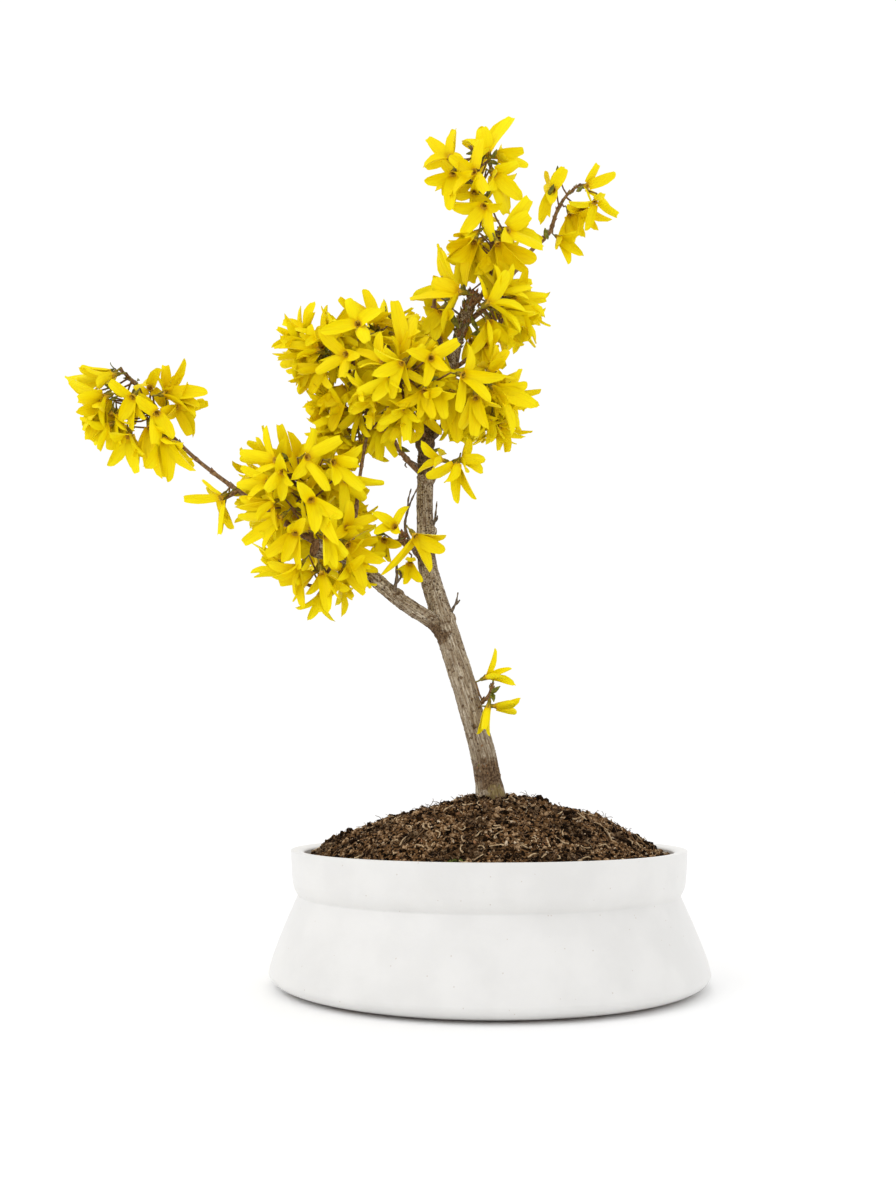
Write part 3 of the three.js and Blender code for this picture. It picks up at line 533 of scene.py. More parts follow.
def radius_at(girth, share):
    places, radii = np.array(girth).T
    return np.interp(share, places, radii)


def depth_in(mass, places):
    """How far out a place lies in a mass's own space: 1 is its edge"""
    return np.linalg.norm((places - np.array(mass["heart"])) / np.array(mass["reach"]), axis=-1)


def is_own_space(mass, place):
    own = depth_in(mass, place)
    return own <= OWN_SPACE and all(
        other is mass or depth_in(other, place) >= own for other in MASSES.values())


def seen_at(u, v, depth):
    """The place that the picture shows at a pixel, at a depth"""
    focal = PICTURE_SIZE[1] * CAMERA_LENS / CAMERA_SENSOR
    tilt = math.radians(CAMERA_TILT)
    right, up = (u - PICTURE_SIZE[0] / 2) / focal, (PICTURE_SIZE[1] / 2 - v) / focal
    way = np.array([right, math.cos(tilt) - up * math.sin(tilt), math.sin(tilt) + up * math.cos(tilt)])
    return np.array(CAMERA_PLACE) + way * (depth - CAMERA_PLACE[1]) / way[1]


# Sprays and flowers. A petal is the way out from the flower's axis, how far it leans out, and its
# length as a share of the usual one.
def stem_samples(mass):
    stem = Route(mass["stem"])
    shares = [1] + [count / STEM_SAMPLES for count in range(FIRST_SAMPLE, STEM_SAMPLES + 1)]
    return np.array([stem.at(share) for share in shares])


def spray_plans(mass, sprays, draw, depth):
    """Twigs from the stem, in directions spread evenly by the golden angle"""
    samples = stem_samples(mass)
    turn = between(draw, 0, 2 * math.pi)
    for count in range(sprays):
        height = 1 - 2 * (count + 0.5) / sprays
        direction = math.sqrt(1 - height * height) * spun(turn + count * GOLDEN_ANGLE) + [0, 0, height]
        shell = np.array(mass["heart"]) + np.array(mass["reach"]) * direction * depth
        start = samples[np.argmin(np.linalg.norm(samples - shell, axis=1))]
        twig = max(SHORTEST_TWIG, np.linalg.norm(shell - start) - FLOWER_REACH)
        outward = unit(shell - start)
        side = turned_about(unit(np.cross([0, 0, 1], outward)), outward, between(draw, 0, math.pi))
        yield start, outward, start + outward * twig, side


def flower_axes(facing):
    level = np.cross(facing, [0, 0, 1])
    if np.linalg.norm(level) < 0.05:
        level = np.cross(facing, [1, 0, 0])
    first = unit(level)
    return first, np.cross(facing, first)


def petal_places(flower):
    """Points down the middle and both edges of each petal, to find room for them"""
    places = []
    for out, lean, long in flower["petals"]:
        across = np.cross(flower["facing"], out)
        place = flower["throat"] + out * TUBE_RADIUS
        for step in range(PETAL_STEPS + 1):
            share = step / PETAL_STEPS
            half = across * petal_half_width(share) * flower["size"]
            places += [place - half, place, place + half]
            angle = lean + REFLEX * (share - 0.5)
            place = place + spun(angle, flower["facing"], out) * PETAL_LENGTH * long / PETAL_STEPS
    return np.array(places)


def petal_half_width(share, tip=USUAL_TIP):
    widths = [*PETAL_WIDTHS, 0.7 + 0.25 * tip, 0.45 + 0.5 * tip, tip]
    return np.interp(share, PETAL_SHARES, widths) * PETAL_WIDTH / 2


class Crown:
    """Keeps the flowers that have grown, so that the next ones find room between them."""

    def __init__(self):
        spots = []
        for limb in [*OLD_WOOD.values(), *YOUNG_SHOOTS.values()]:
            places, shares = Route(limb["route"]).samples(3)
            spots += [[*place, radius_at(limb["girth"], share)] for place, share in zip(places, shares)]
        for (u, v), back, radius in OPEN_VIEWS:
            spots += [[*seen_at(u, v, depth), radius] for depth in range(NEAREST_BLOSSOM, back, 4)]
        self.wood = np.array(spots)
        self.throats = self.petals = np.full((1, 3), FAR_AWAY)

    def has_room(self, flower, places):
        throat = flower["throat"]
        if np.linalg.norm(self.throats - throat, axis=1).min() < FLOWER_ROOM:
            return False
        wood = self.wood[np.linalg.norm(self.wood[:, :3] - throat, axis=1) < WOOD_NEARBY]
        gaps = np.linalg.norm(places[:, None] - wood[None, :, :3], axis=2) - wood[None, :, 3]
        if gaps.min(initial=FAR_AWAY) < LIMB_ROOM:
            return False
        petals = self.petals[np.linalg.norm(self.petals - throat, axis=1) < PETALS_NEARBY]
        gaps = np.linalg.norm(places[:, None] - petals[None], axis=2)
        return (gaps.min(axis=1, initial=FAR_AWAY) < PETAL_ROOM).sum() <= TOUCHES_ALLOWED

    def add(self, flower, places):
        self.throats = np.vstack([self.throats, flower["throat"]])
        self.petals = np.vstack([self.petals, places])


def plan_flower(mass, node, outward, side, draw):
    facing = spun(between(draw, *FLOWER_SPLAY), outward, side)
    facing = unit(facing - np.array([0, 0, mass.get("droop", USUAL_DROOP)]))
    axes = flower_axes(facing)
    spin = between(draw, 0, math.pi / 2)
    opened = between(draw, *FLOWER_OPENING)
    size = between(draw, *FLOWER_SIZE)
    petals = []
    for count in range(PETALS):
        angle = spin + count * 2 * math.pi / PETALS + between(draw, -PETAL_STRAY, PETAL_STRAY)
        petals.append((spun(angle, *axes), opened + between(draw, -PETAL_STRAY, PETAL_STRAY), size))
    throat = node + facing * STALK_LENGTH
    return dict(throat=throat, facing=facing, petals=petals, size=size * mass["breadth"])


def picture_flower(throat, depth, tips, breadth, way=1):
    """A flower whose throat and petal tips show at places in the picture; it faces the front, or back"""
    place = seen_at(*throat, depth)
    reaches = []
    for u, v, near in tips:
        flat = seen_at(u, v, depth) - place
        lean = near + NEAR_STRAY * math.sin(u + 2 * v)
        least = math.sqrt(max(0, (LEAST_PETAL * PETAL_LENGTH)**2 - flat @ flat))
        usual = math.sqrt(max(SHORTEST_REACH_SQUARED, PETAL_LENGTH**2 - flat @ flat))
        toward = way * math.copysign(max(least, abs(lean) * usual), lean)
        reaches.append(flat - np.array([0, toward, 0]))
    facing = unit(sum(unit(reach) for reach in reaches) - np.array([0, FRONT_PULL * way, 0]))
    petals = []
    for reach in reaches:
        along = unit(reach)
        out = unit(along - facing * np.dot(along, facing))
        lean = math.acos(np.clip(np.dot(along, facing), -1, 1))
        petals.append((out, lean, (np.linalg.norm(reach) - TUBE_RADIUS * math.sin(lean)) / PETAL_LENGTH))
    size = breadth * np.clip(max(long for _, _, long in petals), *PICTURE_SIZES)
    return dict(throat=place, facing=facing, petals=petals, size=size)


def picture_flowers():
    """The flowers at the front, and in thin masses one or two behind each, hidden by it in the picture"""
    flowers = []
    for name, group in FRONT_FLOWERS.items():
        breadth, middle = MASSES[name]["breadth"], MASSES[name].get("middle")
        for (x, y), depth, tips in group:
            flowers.append(picture_flower((x, y), depth, tips, breadth))
            if middle is None or depth > middle - PAIR_GAP:
                continue
            behind = [(2 * middle - depth, -1)]
            if depth < middle - THIRD_GAP:
                behind.append((middle, 1 if len(flowers) % 3 else -1))
            tips = [(x + (u - x) * PAIR_SPREAD, y + (v - y) * PAIR_SPREAD, near) for u, v, near in tips]
            flowers += [picture_flower((x, y), place, tips, breadth, way) for place, way in behind]
    return flowers


def grow_front(crown):
    """Those flowers, each on a twig that rises from the nearest place on a stem"""
    stems = np.concatenate([stem_samples(mass) for mass in MASSES.values()])
    sprays = []
    for flower in picture_flowers():
        node = flower["throat"] - flower["facing"] * STALK_LENGTH
        start = stems[np.argmin(np.linalg.norm(stems - node + TWIG_RISE, axis=1))]
        crown.add(flower, petal_places(flower))
        sprays.append(dict(start=start, outward=unit(node - start), node=node, flowers=[flower]))
    return sprays


def grow_mass(mass, crown):
    """The part's sprays first, then finer ones in the same space, each with what flowers have room"""
    tiers = [
        (mass["sprays"], mass["fine"], 0.9, 3),
        (mass["sprays"] * 2, mass["seed"], 0.9, 3),
        (mass["sprays"] * 2, mass["fine"] + 7, 0.6, 3),
        (mass["sprays"] * 3, mass["fine"] + 11, 0.8, 2),
    ][:mass.get("fill", 4)]
    sprays = []
    for count, seed, depth, flowers in tiers:
        draw = seeded_numbers(seed)
        for start, outward, node, side in spray_plans(mass, count, draw, depth):
            grown = []
            for _ in range(flowers):
                side = turned_about(side, outward, 2 * math.pi / flowers)
                flower = plan_flower(mass, node, outward, side, draw)
                if not is_own_space(mass, node) or not is_own_space(mass, flower["throat"]):
                    continue
                full = flower["petals"], flower["size"]
                for share in SIZES_TRIED:
                    flower["petals"] = [(out, lean, long * share) for out, lean, long in full[0]]
                    flower["size"] = full[1] * share
                    places = petal_places(flower)
                    if depth_in(mass, places).max() <= PETAL_SPACE and crown.has_room(flower, places):
                        crown.add(flower, places)
                        grown.append(flower)
                        break
            if grown:
                sprays.append(dict(start=start, outward=outward, node=node, flowers=grown))
    return sprays


def grow_crown():
    crown = Crown()
    sprays = grow_front(crown)
    for mass in MASSES.values():
        sprays += grow_mass(mass, crown)
    return sprays


# Bodies, as places and faces
def fan_faces(middle, ring, sides):
    """Faces from one place to a ring of places, given the first of the ring"""
    return [(middle, ring + count, ring + (count + 1) % sides) for count in range(sides)]


def band_faces(lower, upper, sides, turned=False):
    """Faces between two rings of places, given the first of each"""
    steps = [(count, (count + 1) % sides) for count in range(sides)]
    if turned:
        return [(lower + count, upper + count, upper + after, lower + after) for count, after in steps]
    return [(lower + count, lower + after, upper + after, upper + count) for count, after in steps]


def tube_faces(rings, sides):
    """Faces that close rings of places into one body"""
    faces, last = [], (rings - 1) * sides
    for ring in range(0, last, sides):
        faces += band_faces(ring, ring + sides, sides)
    return [*faces, tuple(reversed(range(sides))), tuple(range(last, last + sides))]


def turned_body(outline, sides):
    """A closed body turned from an outline of radius and height that starts and ends on the axis"""
    places, faces, before = [], [], None
    ways = round_ways(sides)
    for radius, height in outline:
        corners = sides if radius else 1
        ring = [len(places) + count % corners for count in range(sides)]
        places += [radius * way + [0, 0, height] for way in ways[:corners]]
        if before:
            for count, after in [(count, (count + 1) % sides) for count in range(sides)]:
                faces.append(tuple(dict.fromkeys([before[count], before[after], ring[after], ring[count]])))
        before = ring
    return places, faces


def blade_body(rows):
    """A thin closed blade from rows of six places: three across its one side, and three across its other"""
    faces, last = [], (len(rows) - 1) * 6
    for low in range(0, last, 6):
        high = low + 6
        for side in (0, 1):
            faces.append((low + side, high + side, high + side + 1, low + side + 1))
            faces.append((low + 4 + side, high + 4 + side, high + 3 + side, low + 3 + side))
        faces += [(low + 3, high + 3, high, low), (low + 2, high + 2, high + 5, low + 5)]
    ends = [(0, 1, 2, 5, 4, 3), tuple(last + corner for corner in (3, 4, 5, 2, 1, 0))]
    return [place for row in rows for place in row], faces + ends


def join_bodies(bodies):
    places, faces = [], []
    for corners, sides in bodies:
        faces += [tuple(len(places) + corner for corner in side) for side in sides]
        places += list(corners)
    return places, faces


# Meshes and pieces
def new_mesh(name, places, faces, finishes=(), smooth=True):
    mesh = bpy.data.meshes.new(name)
    mesh.from_pydata((np.asarray(places, float) * MM).tolist(), [], faces)
    for finish in finishes:
        mesh.materials.append(finish)
    mesh.polygons.foreach_set("use_smooth", [smooth] * len(mesh.polygons))
    mesh.update()
    return mesh


def give_points(mesh, name, kind, values):
    """Gives a mesh's points an attribute"""
    field = "vector" if kind == "FLOAT_VECTOR" else "value"
    mesh.attributes.new(name, kind, "POINT").data.foreach_set(field, np.ravel(values).tolist())


def new_object(name, data):
    made = bpy.data.objects.new(name, data)
    bpy.context.scene.collection.objects.link(made)
    return made


def new_piece(name, mesh, slot, *nodes):
    """A finished piece: it rides with the plant and stands for the nodes. The slot is not used"""
    mesh.name = name
    piece = new_object(name, mesh)
    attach(piece, "root")
    if nodes:
        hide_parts(*nodes)
    return piece


def plain_mesh(holder):
    """The plain mesh of an object and its modifiers, in place of that object"""
    bpy.context.view_layer.update()
    depsgraph = bpy.context.evaluated_depsgraph_get()
    made = bpy.data.meshes.new_from_object(
        holder.evaluated_get(depsgraph), preserve_all_data_layers=True, depsgraph=depsgraph)
    bpy.data.objects.remove(holder)
    return made


# Geometry trees
def new_tree(name, *inputs):
    tree = bpy.data.node_groups.new(name, "GeometryNodeTree")
    tree.interface.new_socket("Geometry", in_out="INPUT", socket_type="NodeSocketGeometry")
    for label, kind in inputs:
        tree.interface.new_socket(label, in_out="INPUT", socket_type="NodeSocket" + kind)
    tree.interface.new_socket("Geometry", in_out="OUTPUT", socket_type="NodeSocketGeometry")
    return tree, tree.nodes.new("NodeGroupInput").outputs, tree.nodes.new("NodeGroupOutput").inputs[0]


def add_node(tree, kind, links=None, **settings):
    """A node's outputs. Its inputs go by name or number: each a socket to link or a value"""
    node = tree.nodes.new(kind)
    for setting, value in settings.items():
        setattr(node, setting, value)
    for place, value in (links or {}).items():
        if isinstance(value, bpy.types.NodeSocket):
            tree.links.new(value, node.inputs[place])
        else:
            node.inputs[place].default_value = value
    return node.outputs


def named(tree, name, kind):
    return add_node(tree, "GeometryNodeInputNamedAttribute", {"Name": name}, data_type=kind)[0]


def set_materials(tree, geometry, finishes, attribute=None):
    """Realizes what the tree made, and deals finishes out by a whole-number attribute"""
    geometry = add_node(tree, "GeometryNodeRealizeInstances", {"Geometry": geometry})[0]
    for count, finish in enumerate(finishes):
        links = {"Geometry": geometry, "Material": finish}
        if attribute:
            number = named(tree, attribute, "INT")
            links["Selection"] = add_node(
                tree, "FunctionNodeCompare", {2: number, 3: count}, data_type="INT", operation="EQUAL")[0]
        geometry = add_node(tree, "GeometryNodeSetMaterial", links)[0]
    return geometry


def tube_tree():
    """Tubes along lines: the attribute girth is the radius"""
    tree, given, result = new_tree("tubes_along_lines", ("Sides", "Int"), ("Finish", "Material"))
    lines = add_node(tree, "GeometryNodeMeshToCurve", {"Mesh": given["Geometry"]})
    ring = add_node(tree, "GeometryNodeCurvePrimitiveCircle", {"Resolution": given["Sides"], "Radius": 1.0})
    tubes = add_node(tree, "GeometryNodeCurveToMesh", {
        "Curve": lines[0], "Profile Curve": ring[0], "Scale": named(tree, "girth", "FLOAT"),
        "Fill Caps": True})
    smooth = add_node(tree, "GeometryNodeSetShadeSmooth", {"Geometry": tubes[0]})
    tree.links.new(set_materials(tree, smooth[0], [given["Finish"]]), result)
    return tree


TUBES = tube_tree()
STREWN = [("Density", "Float"), ("Smallest", "Float"), ("Largest", "Float"), ("Seed", "Int")]


def finish_inputs(tones):
    return [(f"Finish {count}", "Material") for count in range(tones)]


def form_source(tree, given):
    return add_node(tree, "GeometryNodeCollectionInfo", {
        "Collection": given["Forms"], "Separate Children": True, "Reset Children": True})[0]


def placing_tree(name, tones):
    """A form from a collection on each point: the attributes form, turn, grown and tone say which"""
    tree, given, result = new_tree(name, ("Forms", "Collection"), *finish_inputs(tones))
    placed = add_node(tree, "GeometryNodeInstanceOnPoints", {
        "Points": given["Geometry"], "Instance": form_source(tree, given), "Pick Instance": True,
        "Instance Index": named(tree, "form", "INT"), "Rotation": named(tree, "turn", "QUATERNION"),
        "Scale": named(tree, "grown", "FLOAT_VECTOR")})
    finishes = [given[label] for label, _ in finish_inputs(tones)]
    tree.links.new(set_materials(tree, placed[0], finishes, "tone"), result)
    return tree


def strewn_points(tree, given, **more):
    """Points strewn over the surface that a tree is given, and a random size for each"""
    seed = given["Seed"]
    points = add_node(tree, "GeometryNodeDistributePointsOnFaces", {
        "Mesh": given["Geometry"], "Density": given["Density"], "Seed": seed, **more})
    sizes = {2: given["Smallest"], 3: given["Largest"], "Seed": seed}
    return points, add_node(tree, "FunctionNodeRandomValue", sizes, data_type="FLOAT")[1]


def litter_tree():
    """Crumbs strewn over the upper side of a surface, each in one of three tones"""
    tree, given, result = new_tree("litter_on_soil", ("Forms", "Collection"), *STREWN, *finish_inputs(3))
    normal = add_node(tree, "GeometryNodeInputNormal")[0]
    upward = add_node(tree, "ShaderNodeSeparateXYZ", {0: normal})[2]
    is_top = add_node(tree, "FunctionNodeCompare", {0: upward, 1: STEEPEST_LITTER}, operation="GREATER_THAN")
    points, size = strewn_points(tree, given, Selection=is_top[0])
    turn = add_node(tree, "FunctionNodeRandomValue", {1: ANY_TURN, "Seed": given["Seed"]},
                    data_type="FLOAT_VECTOR")
    turned = add_node(tree, "FunctionNodeEulerToRotation", {0: turn[0]})
    placed = add_node(tree, "GeometryNodeInstanceOnPoints", {
        "Points": points[0], "Instance": form_source(tree, given), "Pick Instance": True,
        "Rotation": turned[0], "Scale": size})
    tone = add_node(tree, "FunctionNodeRandomValue", {4: 0, 5: 2, "Seed": given["Seed"]}, data_type="INT")
    toned = add_node(tree, "GeometryNodeStoreNamedAttribute", {
        "Geometry": placed[0], "Name": "tone", "Value": tone[2]}, data_type="INT", domain="INSTANCE")
    finishes = [given[label] for label, _ in finish_inputs(3)]
    tree.links.new(set_materials(tree, toned[0], finishes, "tone"), result)
    return tree


def pore_tree():
    """Corky pores strewn over the bark and joined to it"""
    tree, given, result = new_tree(
        "pores_on_bark", ("Pore", "Object"), *STREWN, ("Bark", "Material"), ("Cork", "Material"))
    points, size = strewn_points(tree, given)
    pore = add_node(tree, "GeometryNodeObjectInfo", {"Object": given["Pore"]})["Geometry"]
    placed = add_node(tree, "GeometryNodeInstanceOnPoints", {
        "Points": points[0], "Instance": pore, "Rotation": points["Rotation"], "Scale": size})
    join = tree.nodes.new("GeometryNodeJoinGeometry")
    for geometry, finish in ((placed[0], "Cork"), (given["Geometry"], "Bark")):
        tree.links.new(set_materials(tree, geometry, [given[finish]]), join.inputs[0])
    tree.links.new(join.outputs[0], result)
    return tree


def run_tree(name, mesh, tree, values):
    """The plain mesh that a tree makes from a mesh"""
    holder = new_object(name, mesh)
    modifier = holder.modifiers.new(tree.name, "NODES")
    modifier.node_group = tree
    for item in tree.interface.items_tree:
        if item.in_out == "INPUT" and item.name in values:
            modifier[item.identifier] = values[item.name]
    return plain_mesh(holder)


def run_with_forms(name, mesh, tree, forms, finishes, **values):
    """What a tree makes of a collection of forms, in its finishes"""
    collection = bpy.data.collections.new(name + "_forms")
    for count, form in enumerate(forms):
        collection.objects.link(bpy.data.objects.new(f"{name}_forms_{count:02d}", form))
    values["Forms"] = collection
    for (label, _), finish in zip(finish_inputs(len(finishes)), finishes):
        values[label] = finish
    made = run_tree(name, mesh, tree, values)
    for form in list(collection.objects):
        bpy.data.objects.remove(form)
    bpy.data.collections.remove(collection)
    return made


def tube_piece(name, lines, sides, finish, slot, *nodes):
    """A piece of tubes along lines, each line a list of places and the radius at each place"""
    places, edges, girth = [], [], []
    for route, radii in lines:
        first = len(places)
        places += [tuple(np.asarray(place) * MM) for place in route]
        edges += [(first + count, first + count + 1) for count in range(len(route) - 1)]
        girth += [radius * MM for radius in radii]
    mesh = bpy.data.meshes.new(name + "_lines")
    mesh.from_pydata(places, edges, [])
    give_points(mesh, "girth", "FLOAT", girth)
    return new_piece(name, run_tree(name, mesh, TUBES, {"Sides": sides, "Finish": finish}), slot, *nodes)


def new_point(place, axes, size, form=0, tone=0):
    """Where a form goes, the ways of its three axes there, its size, and which form and tone it has"""
    return dict(place=place, axes=axes, size=size, form=form, tone=tone)


def form_piece(name, points, forms, finishes, slot, *nodes):
    """A piece of forms, one on each point"""
    mesh = bpy.data.meshes.new(name + "_points")
    mesh.from_pydata([tuple(np.asarray(point["place"]) * MM) for point in points], [], [])
    turns = [Matrix(np.array(point["axes"]).T.tolist()).to_quaternion() for point in points]
    give_points(mesh, "turn", "QUATERNION", turns)
    give_points(mesh, "grown", "FLOAT_VECTOR", [np.ones(3) * point["size"] for point in points])
    for label in ("form", "tone"):
        give_points(mesh, label, "INT", [point[label] for point in points])
    tree = placing_tree(name + "_placing", len(finishes))
    return new_piece(name, run_with_forms(name, mesh, tree, forms, finishes), slot, *nodes)


# Shader groups
def srgb(red, green, blue):
    """A colour as it looks on a screen, 0 to 255, as the shader's linear light"""
    parts = [value / 255 for value in (red, green, blue)]
    light = [part / 12.92 if part <= 0.04045 else ((part + 0.055) / 1.055) ** 2.4 for part in parts]
    return (*light, 1)


class Nodes:
    """A shader's node tree, and short ways to add to it. Each gives back a socket, or all the outputs."""

    def __init__(self, tree):
        self.tree = tree

    def add(self, kind, links=None, **settings):
        return add_node(self.tree, "ShaderNode" + kind, links, **settings)

    def give(self, inputs, **sockets):
        for label, socket in sockets.items():
            self.tree.links.new(socket, inputs[label.replace("_", " ")])

    def maths(self, operation, *values):
        return self.add("Math", dict(enumerate(values)), operation=operation)[0]

    def noise(self, vector, scale, detail=3.0):
        return self.add("TexNoise", {"Vector": vector, "Scale": scale, "Detail": detail})[0]

    def ramp(self, value, low, high, first=0.0, last=1.0, kind="SMOOTHSTEP"):
        """A value drawn out from one level to another"""
        levels = {"Value": value, "From Min": low, "From Max": high, "To Min": first, "To Max": last}
        return self.add("MapRange", levels, interpolation_type=kind)[0]

    def mix(self, share, first, second):
        return self.add("Mix", {0: share, 6: first, 7: second}, data_type="RGBA")[2]


def new_group(name, inputs, outputs):
    """A group with inputs by name, each with its kind or its usual number, and outputs by name and kind"""
    group = bpy.data.node_groups.new(name, "ShaderNodeTree")
    for label, value in inputs.items():
        kind = value if isinstance(value, str) else "Float"
        socket = group.interface.new_socket(label, in_out="INPUT", socket_type="NodeSocket" + kind)
        if kind == "Float":
            socket.default_value = value
    for label, kind in outputs.items():
        group.interface.new_socket(label, in_out="OUTPUT", socket_type="NodeSocket" + kind)
    return Nodes(group), group.nodes.new("NodeGroupInput").outputs, group.nodes.new("NodeGroupOutput").inputs


def mottle_group():
    """Two colours in soft blotches, with finer blotches in them"""
    nodes, given, result = new_group(
        "mottle", dict(Vector="Vector", Fineness=1.0, Low=0.35, High=0.65, Dark="Color", Light="Color"),
        dict(Colour="Color", Mask="Float"))
    mask = nodes.ramp(nodes.noise(given["Vector"], given["Fineness"], 5.0), given["Low"], given["High"])
    nodes.give(result, Colour=nodes.mix(mask, given["Dark"], given["Light"]), Mask=mask)
    return nodes.tree


def grain_group():
    """Fine ribs along the wood, from coordinates that follow the limb"""
    nodes, given, result = new_group(
        "lengthwise_grain", dict(Vector="Vector", Fineness=1.0, Stretch=0.1), dict(Mask="Float"))
    stretch = nodes.add("CombineXYZ", {0: 1.0, 1: 1.0, 2: given["Stretch"]})[0]
    vector = nodes.add("VectorMath", {0: given["Vector"], 1: stretch}, operation="MULTIPLY")[0]
    nodes.give(result, Mask=nodes.ramp(nodes.noise(vector, given["Fineness"], 6.0), 0.3, 0.7))
    return nodes.tree


def fleck_group():
    """Small separate flecks, such as the corky pores of bark or grains in soil"""
    nodes, given, result = new_group(
        "flecks", dict(Vector="Vector", Fineness=1.0, Size=0.3), dict(Mask="Float"))
    apart = nodes.add("TexVoronoi", {"Vector": given["Vector"], "Scale": given["Fineness"]})["Distance"]
    nodes.give(result, Mask=nodes.ramp(apart, given["Size"], nodes.maths("MULTIPLY", given["Size"], 0.6)))
    return nodes.tree


def patch_group():
    """A ragged patch round a place: its mask is 1 at the place and fades at the reach"""
    nodes, given, result = new_group(
        "ragged_patch", dict(Vector="Vector", Centre="Vector", Reach=10.0, Fineness=0.4, Ragged=0.5),
        dict(Mask="Float"))
    apart = nodes.add("VectorMath", {0: given["Vector"], 1: given["Centre"]}, operation="DISTANCE")["Value"]
    uneven = nodes.maths("SUBTRACT", nodes.noise(given["Vector"], given["Fineness"], 4.0), 0.5)
    ragged = nodes.maths("MULTIPLY", uneven, given["Ragged"])
    share = nodes.maths("ADD", nodes.maths("DIVIDE", apart, given["Reach"]), ragged)
    nodes.give(result, Mask=nodes.ramp(share, 1.0, 0.55))
    return nodes.tree


GROUPS = {"mottle": mottle_group(), "grain": grain_group(), "flecks": fleck_group(), "patch": patch_group()}


class Finish(Nodes):
    """A material with a Principled shader, which the sheen, bump and colour go to."""

    def __init__(self, name, roughness, **values):
        self.material = bpy.data.materials.new(name)
        self.material.use_nodes = True
        super().__init__(self.material.node_tree)
        self.shader = self.tree.nodes["Principled BSDF"].inputs
        for label, value in {"Roughness": roughness, **values}.items():
            self.shader[label.replace("_", " ")].default_value = value
        place = self.add("TexCoord")["Object"]
        self.place = self.add("Mapping", {"Vector": place, "Scale": (1 / MM, 1 / MM, 1 / MM)})[0]

    def group(self, kind, **values):
        return self.add("Group", {"Vector": self.place, **values}, node_tree=GROUPS[kind])

    def follow(self, attribute):
        return self.add("Attribute", attribute_name=attribute)["Vector"]

    def height(self):
        return self.add("SeparateXYZ", {0: self.place})[2]

    def colour(self, socket):
        self.give(self.shader, Base_Color=socket)

    def bump(self, height, depth, strength):
        bumped = self.add("Bump", {"Height": height, "Distance": depth * MM, "Strength": strength})
        self.give(self.shader, Normal=bumped[0])


# Finishes
def glaze_finish():
    """Satin white glaze with a faint warm mottle, and a brownish band along the foot's edge"""
    finish = Finish("pot_satin_glaze", 0.38, Coat_Weight=0.25, Coat_Roughness=0.3)
    body = finish.group("mottle", Fineness=0.035, Dark=srgb(221, 220, 218), Light=srgb(227, 226, 224))
    specks = finish.group("flecks", Fineness=0.16, Size=0.07)["Mask"]
    edge = finish.maths("MULTIPLY_ADD", finish.noise(finish.place, 0.09, 4.0), 3.4, finish.height())
    tinted = finish.mix(specks, body["Colour"], srgb(204, 197, 190))
    finish.colour(finish.mix(finish.ramp(edge, 3.6, 1.6), tinted, srgb(176, 150, 134)))
    finish.give(finish.shader, Roughness=finish.ramp(body["Mask"], 0.0, 1.0, 0.34, 0.46, "LINEAR"))
    finish.bump(finish.noise(finish.place, 0.35), 0.25, 0.25)
    return finish.material


# Four composts, each with its dark crumbs, light crumbs and pale grains
SOIL_TONES = {
    "soil_dark": ((28, 16, 6), (120, 88, 56), (188, 158, 124)),
    "soil_brown": ((102, 72, 42), (184, 152, 116), (220, 194, 160)),
    "soil_tan": ((176, 148, 116), (226, 204, 174), (242, 226, 202)),
    "soil_black": ((10, 5, 1), (46, 28, 12), (98, 70, 44)),
}


def soil_finish(name):
    """Crumbly compost, with broad blotches of painted shade"""
    dark, light, fleck = (srgb(*tone) for tone in SOIL_TONES[name])
    finish = Finish(name, 0.95, Specular_IOR_Level=0.05)
    crumbs = finish.group("mottle", Fineness=0.55, Low=0.42, High=0.58, Dark=dark, Light=light)["Colour"]
    grains = finish.group("flecks", Fineness=0.55, Size=0.2)["Mask"]
    # Painted shade: broad blotches that darken the compost toward near-black, by up to six tenths
    painted_shade = finish.group("mottle", Fineness=0.05, Low=0.47, High=0.6)["Mask"]
    finish.colour(finish.mix(finish.maths("MULTIPLY", painted_shade, 0.6), finish.mix(grains, crumbs, fleck),
                             srgb(22, 12, 5)))
    finish.bump(finish.noise(finish.place, 1.1, 6.0), 1.2, 0.9)
    return finish.material


# Dark patches on the old bark, at the fork, foot, head and knee of the trunk: middle and reach
DARK_PATCHES = [((-30, -8, 192), 9.0), ((2, -7, 113), 13.0), ((-34, -4, 306), 27.0), ((-36, -3, 240), 10.0)]
MOSSY_PATCH = (5, -8, 100)
MOSSY_REACH = 8.0
PLAIN_BELOW = 165.0
SPECKLED_ABOVE = 235.0


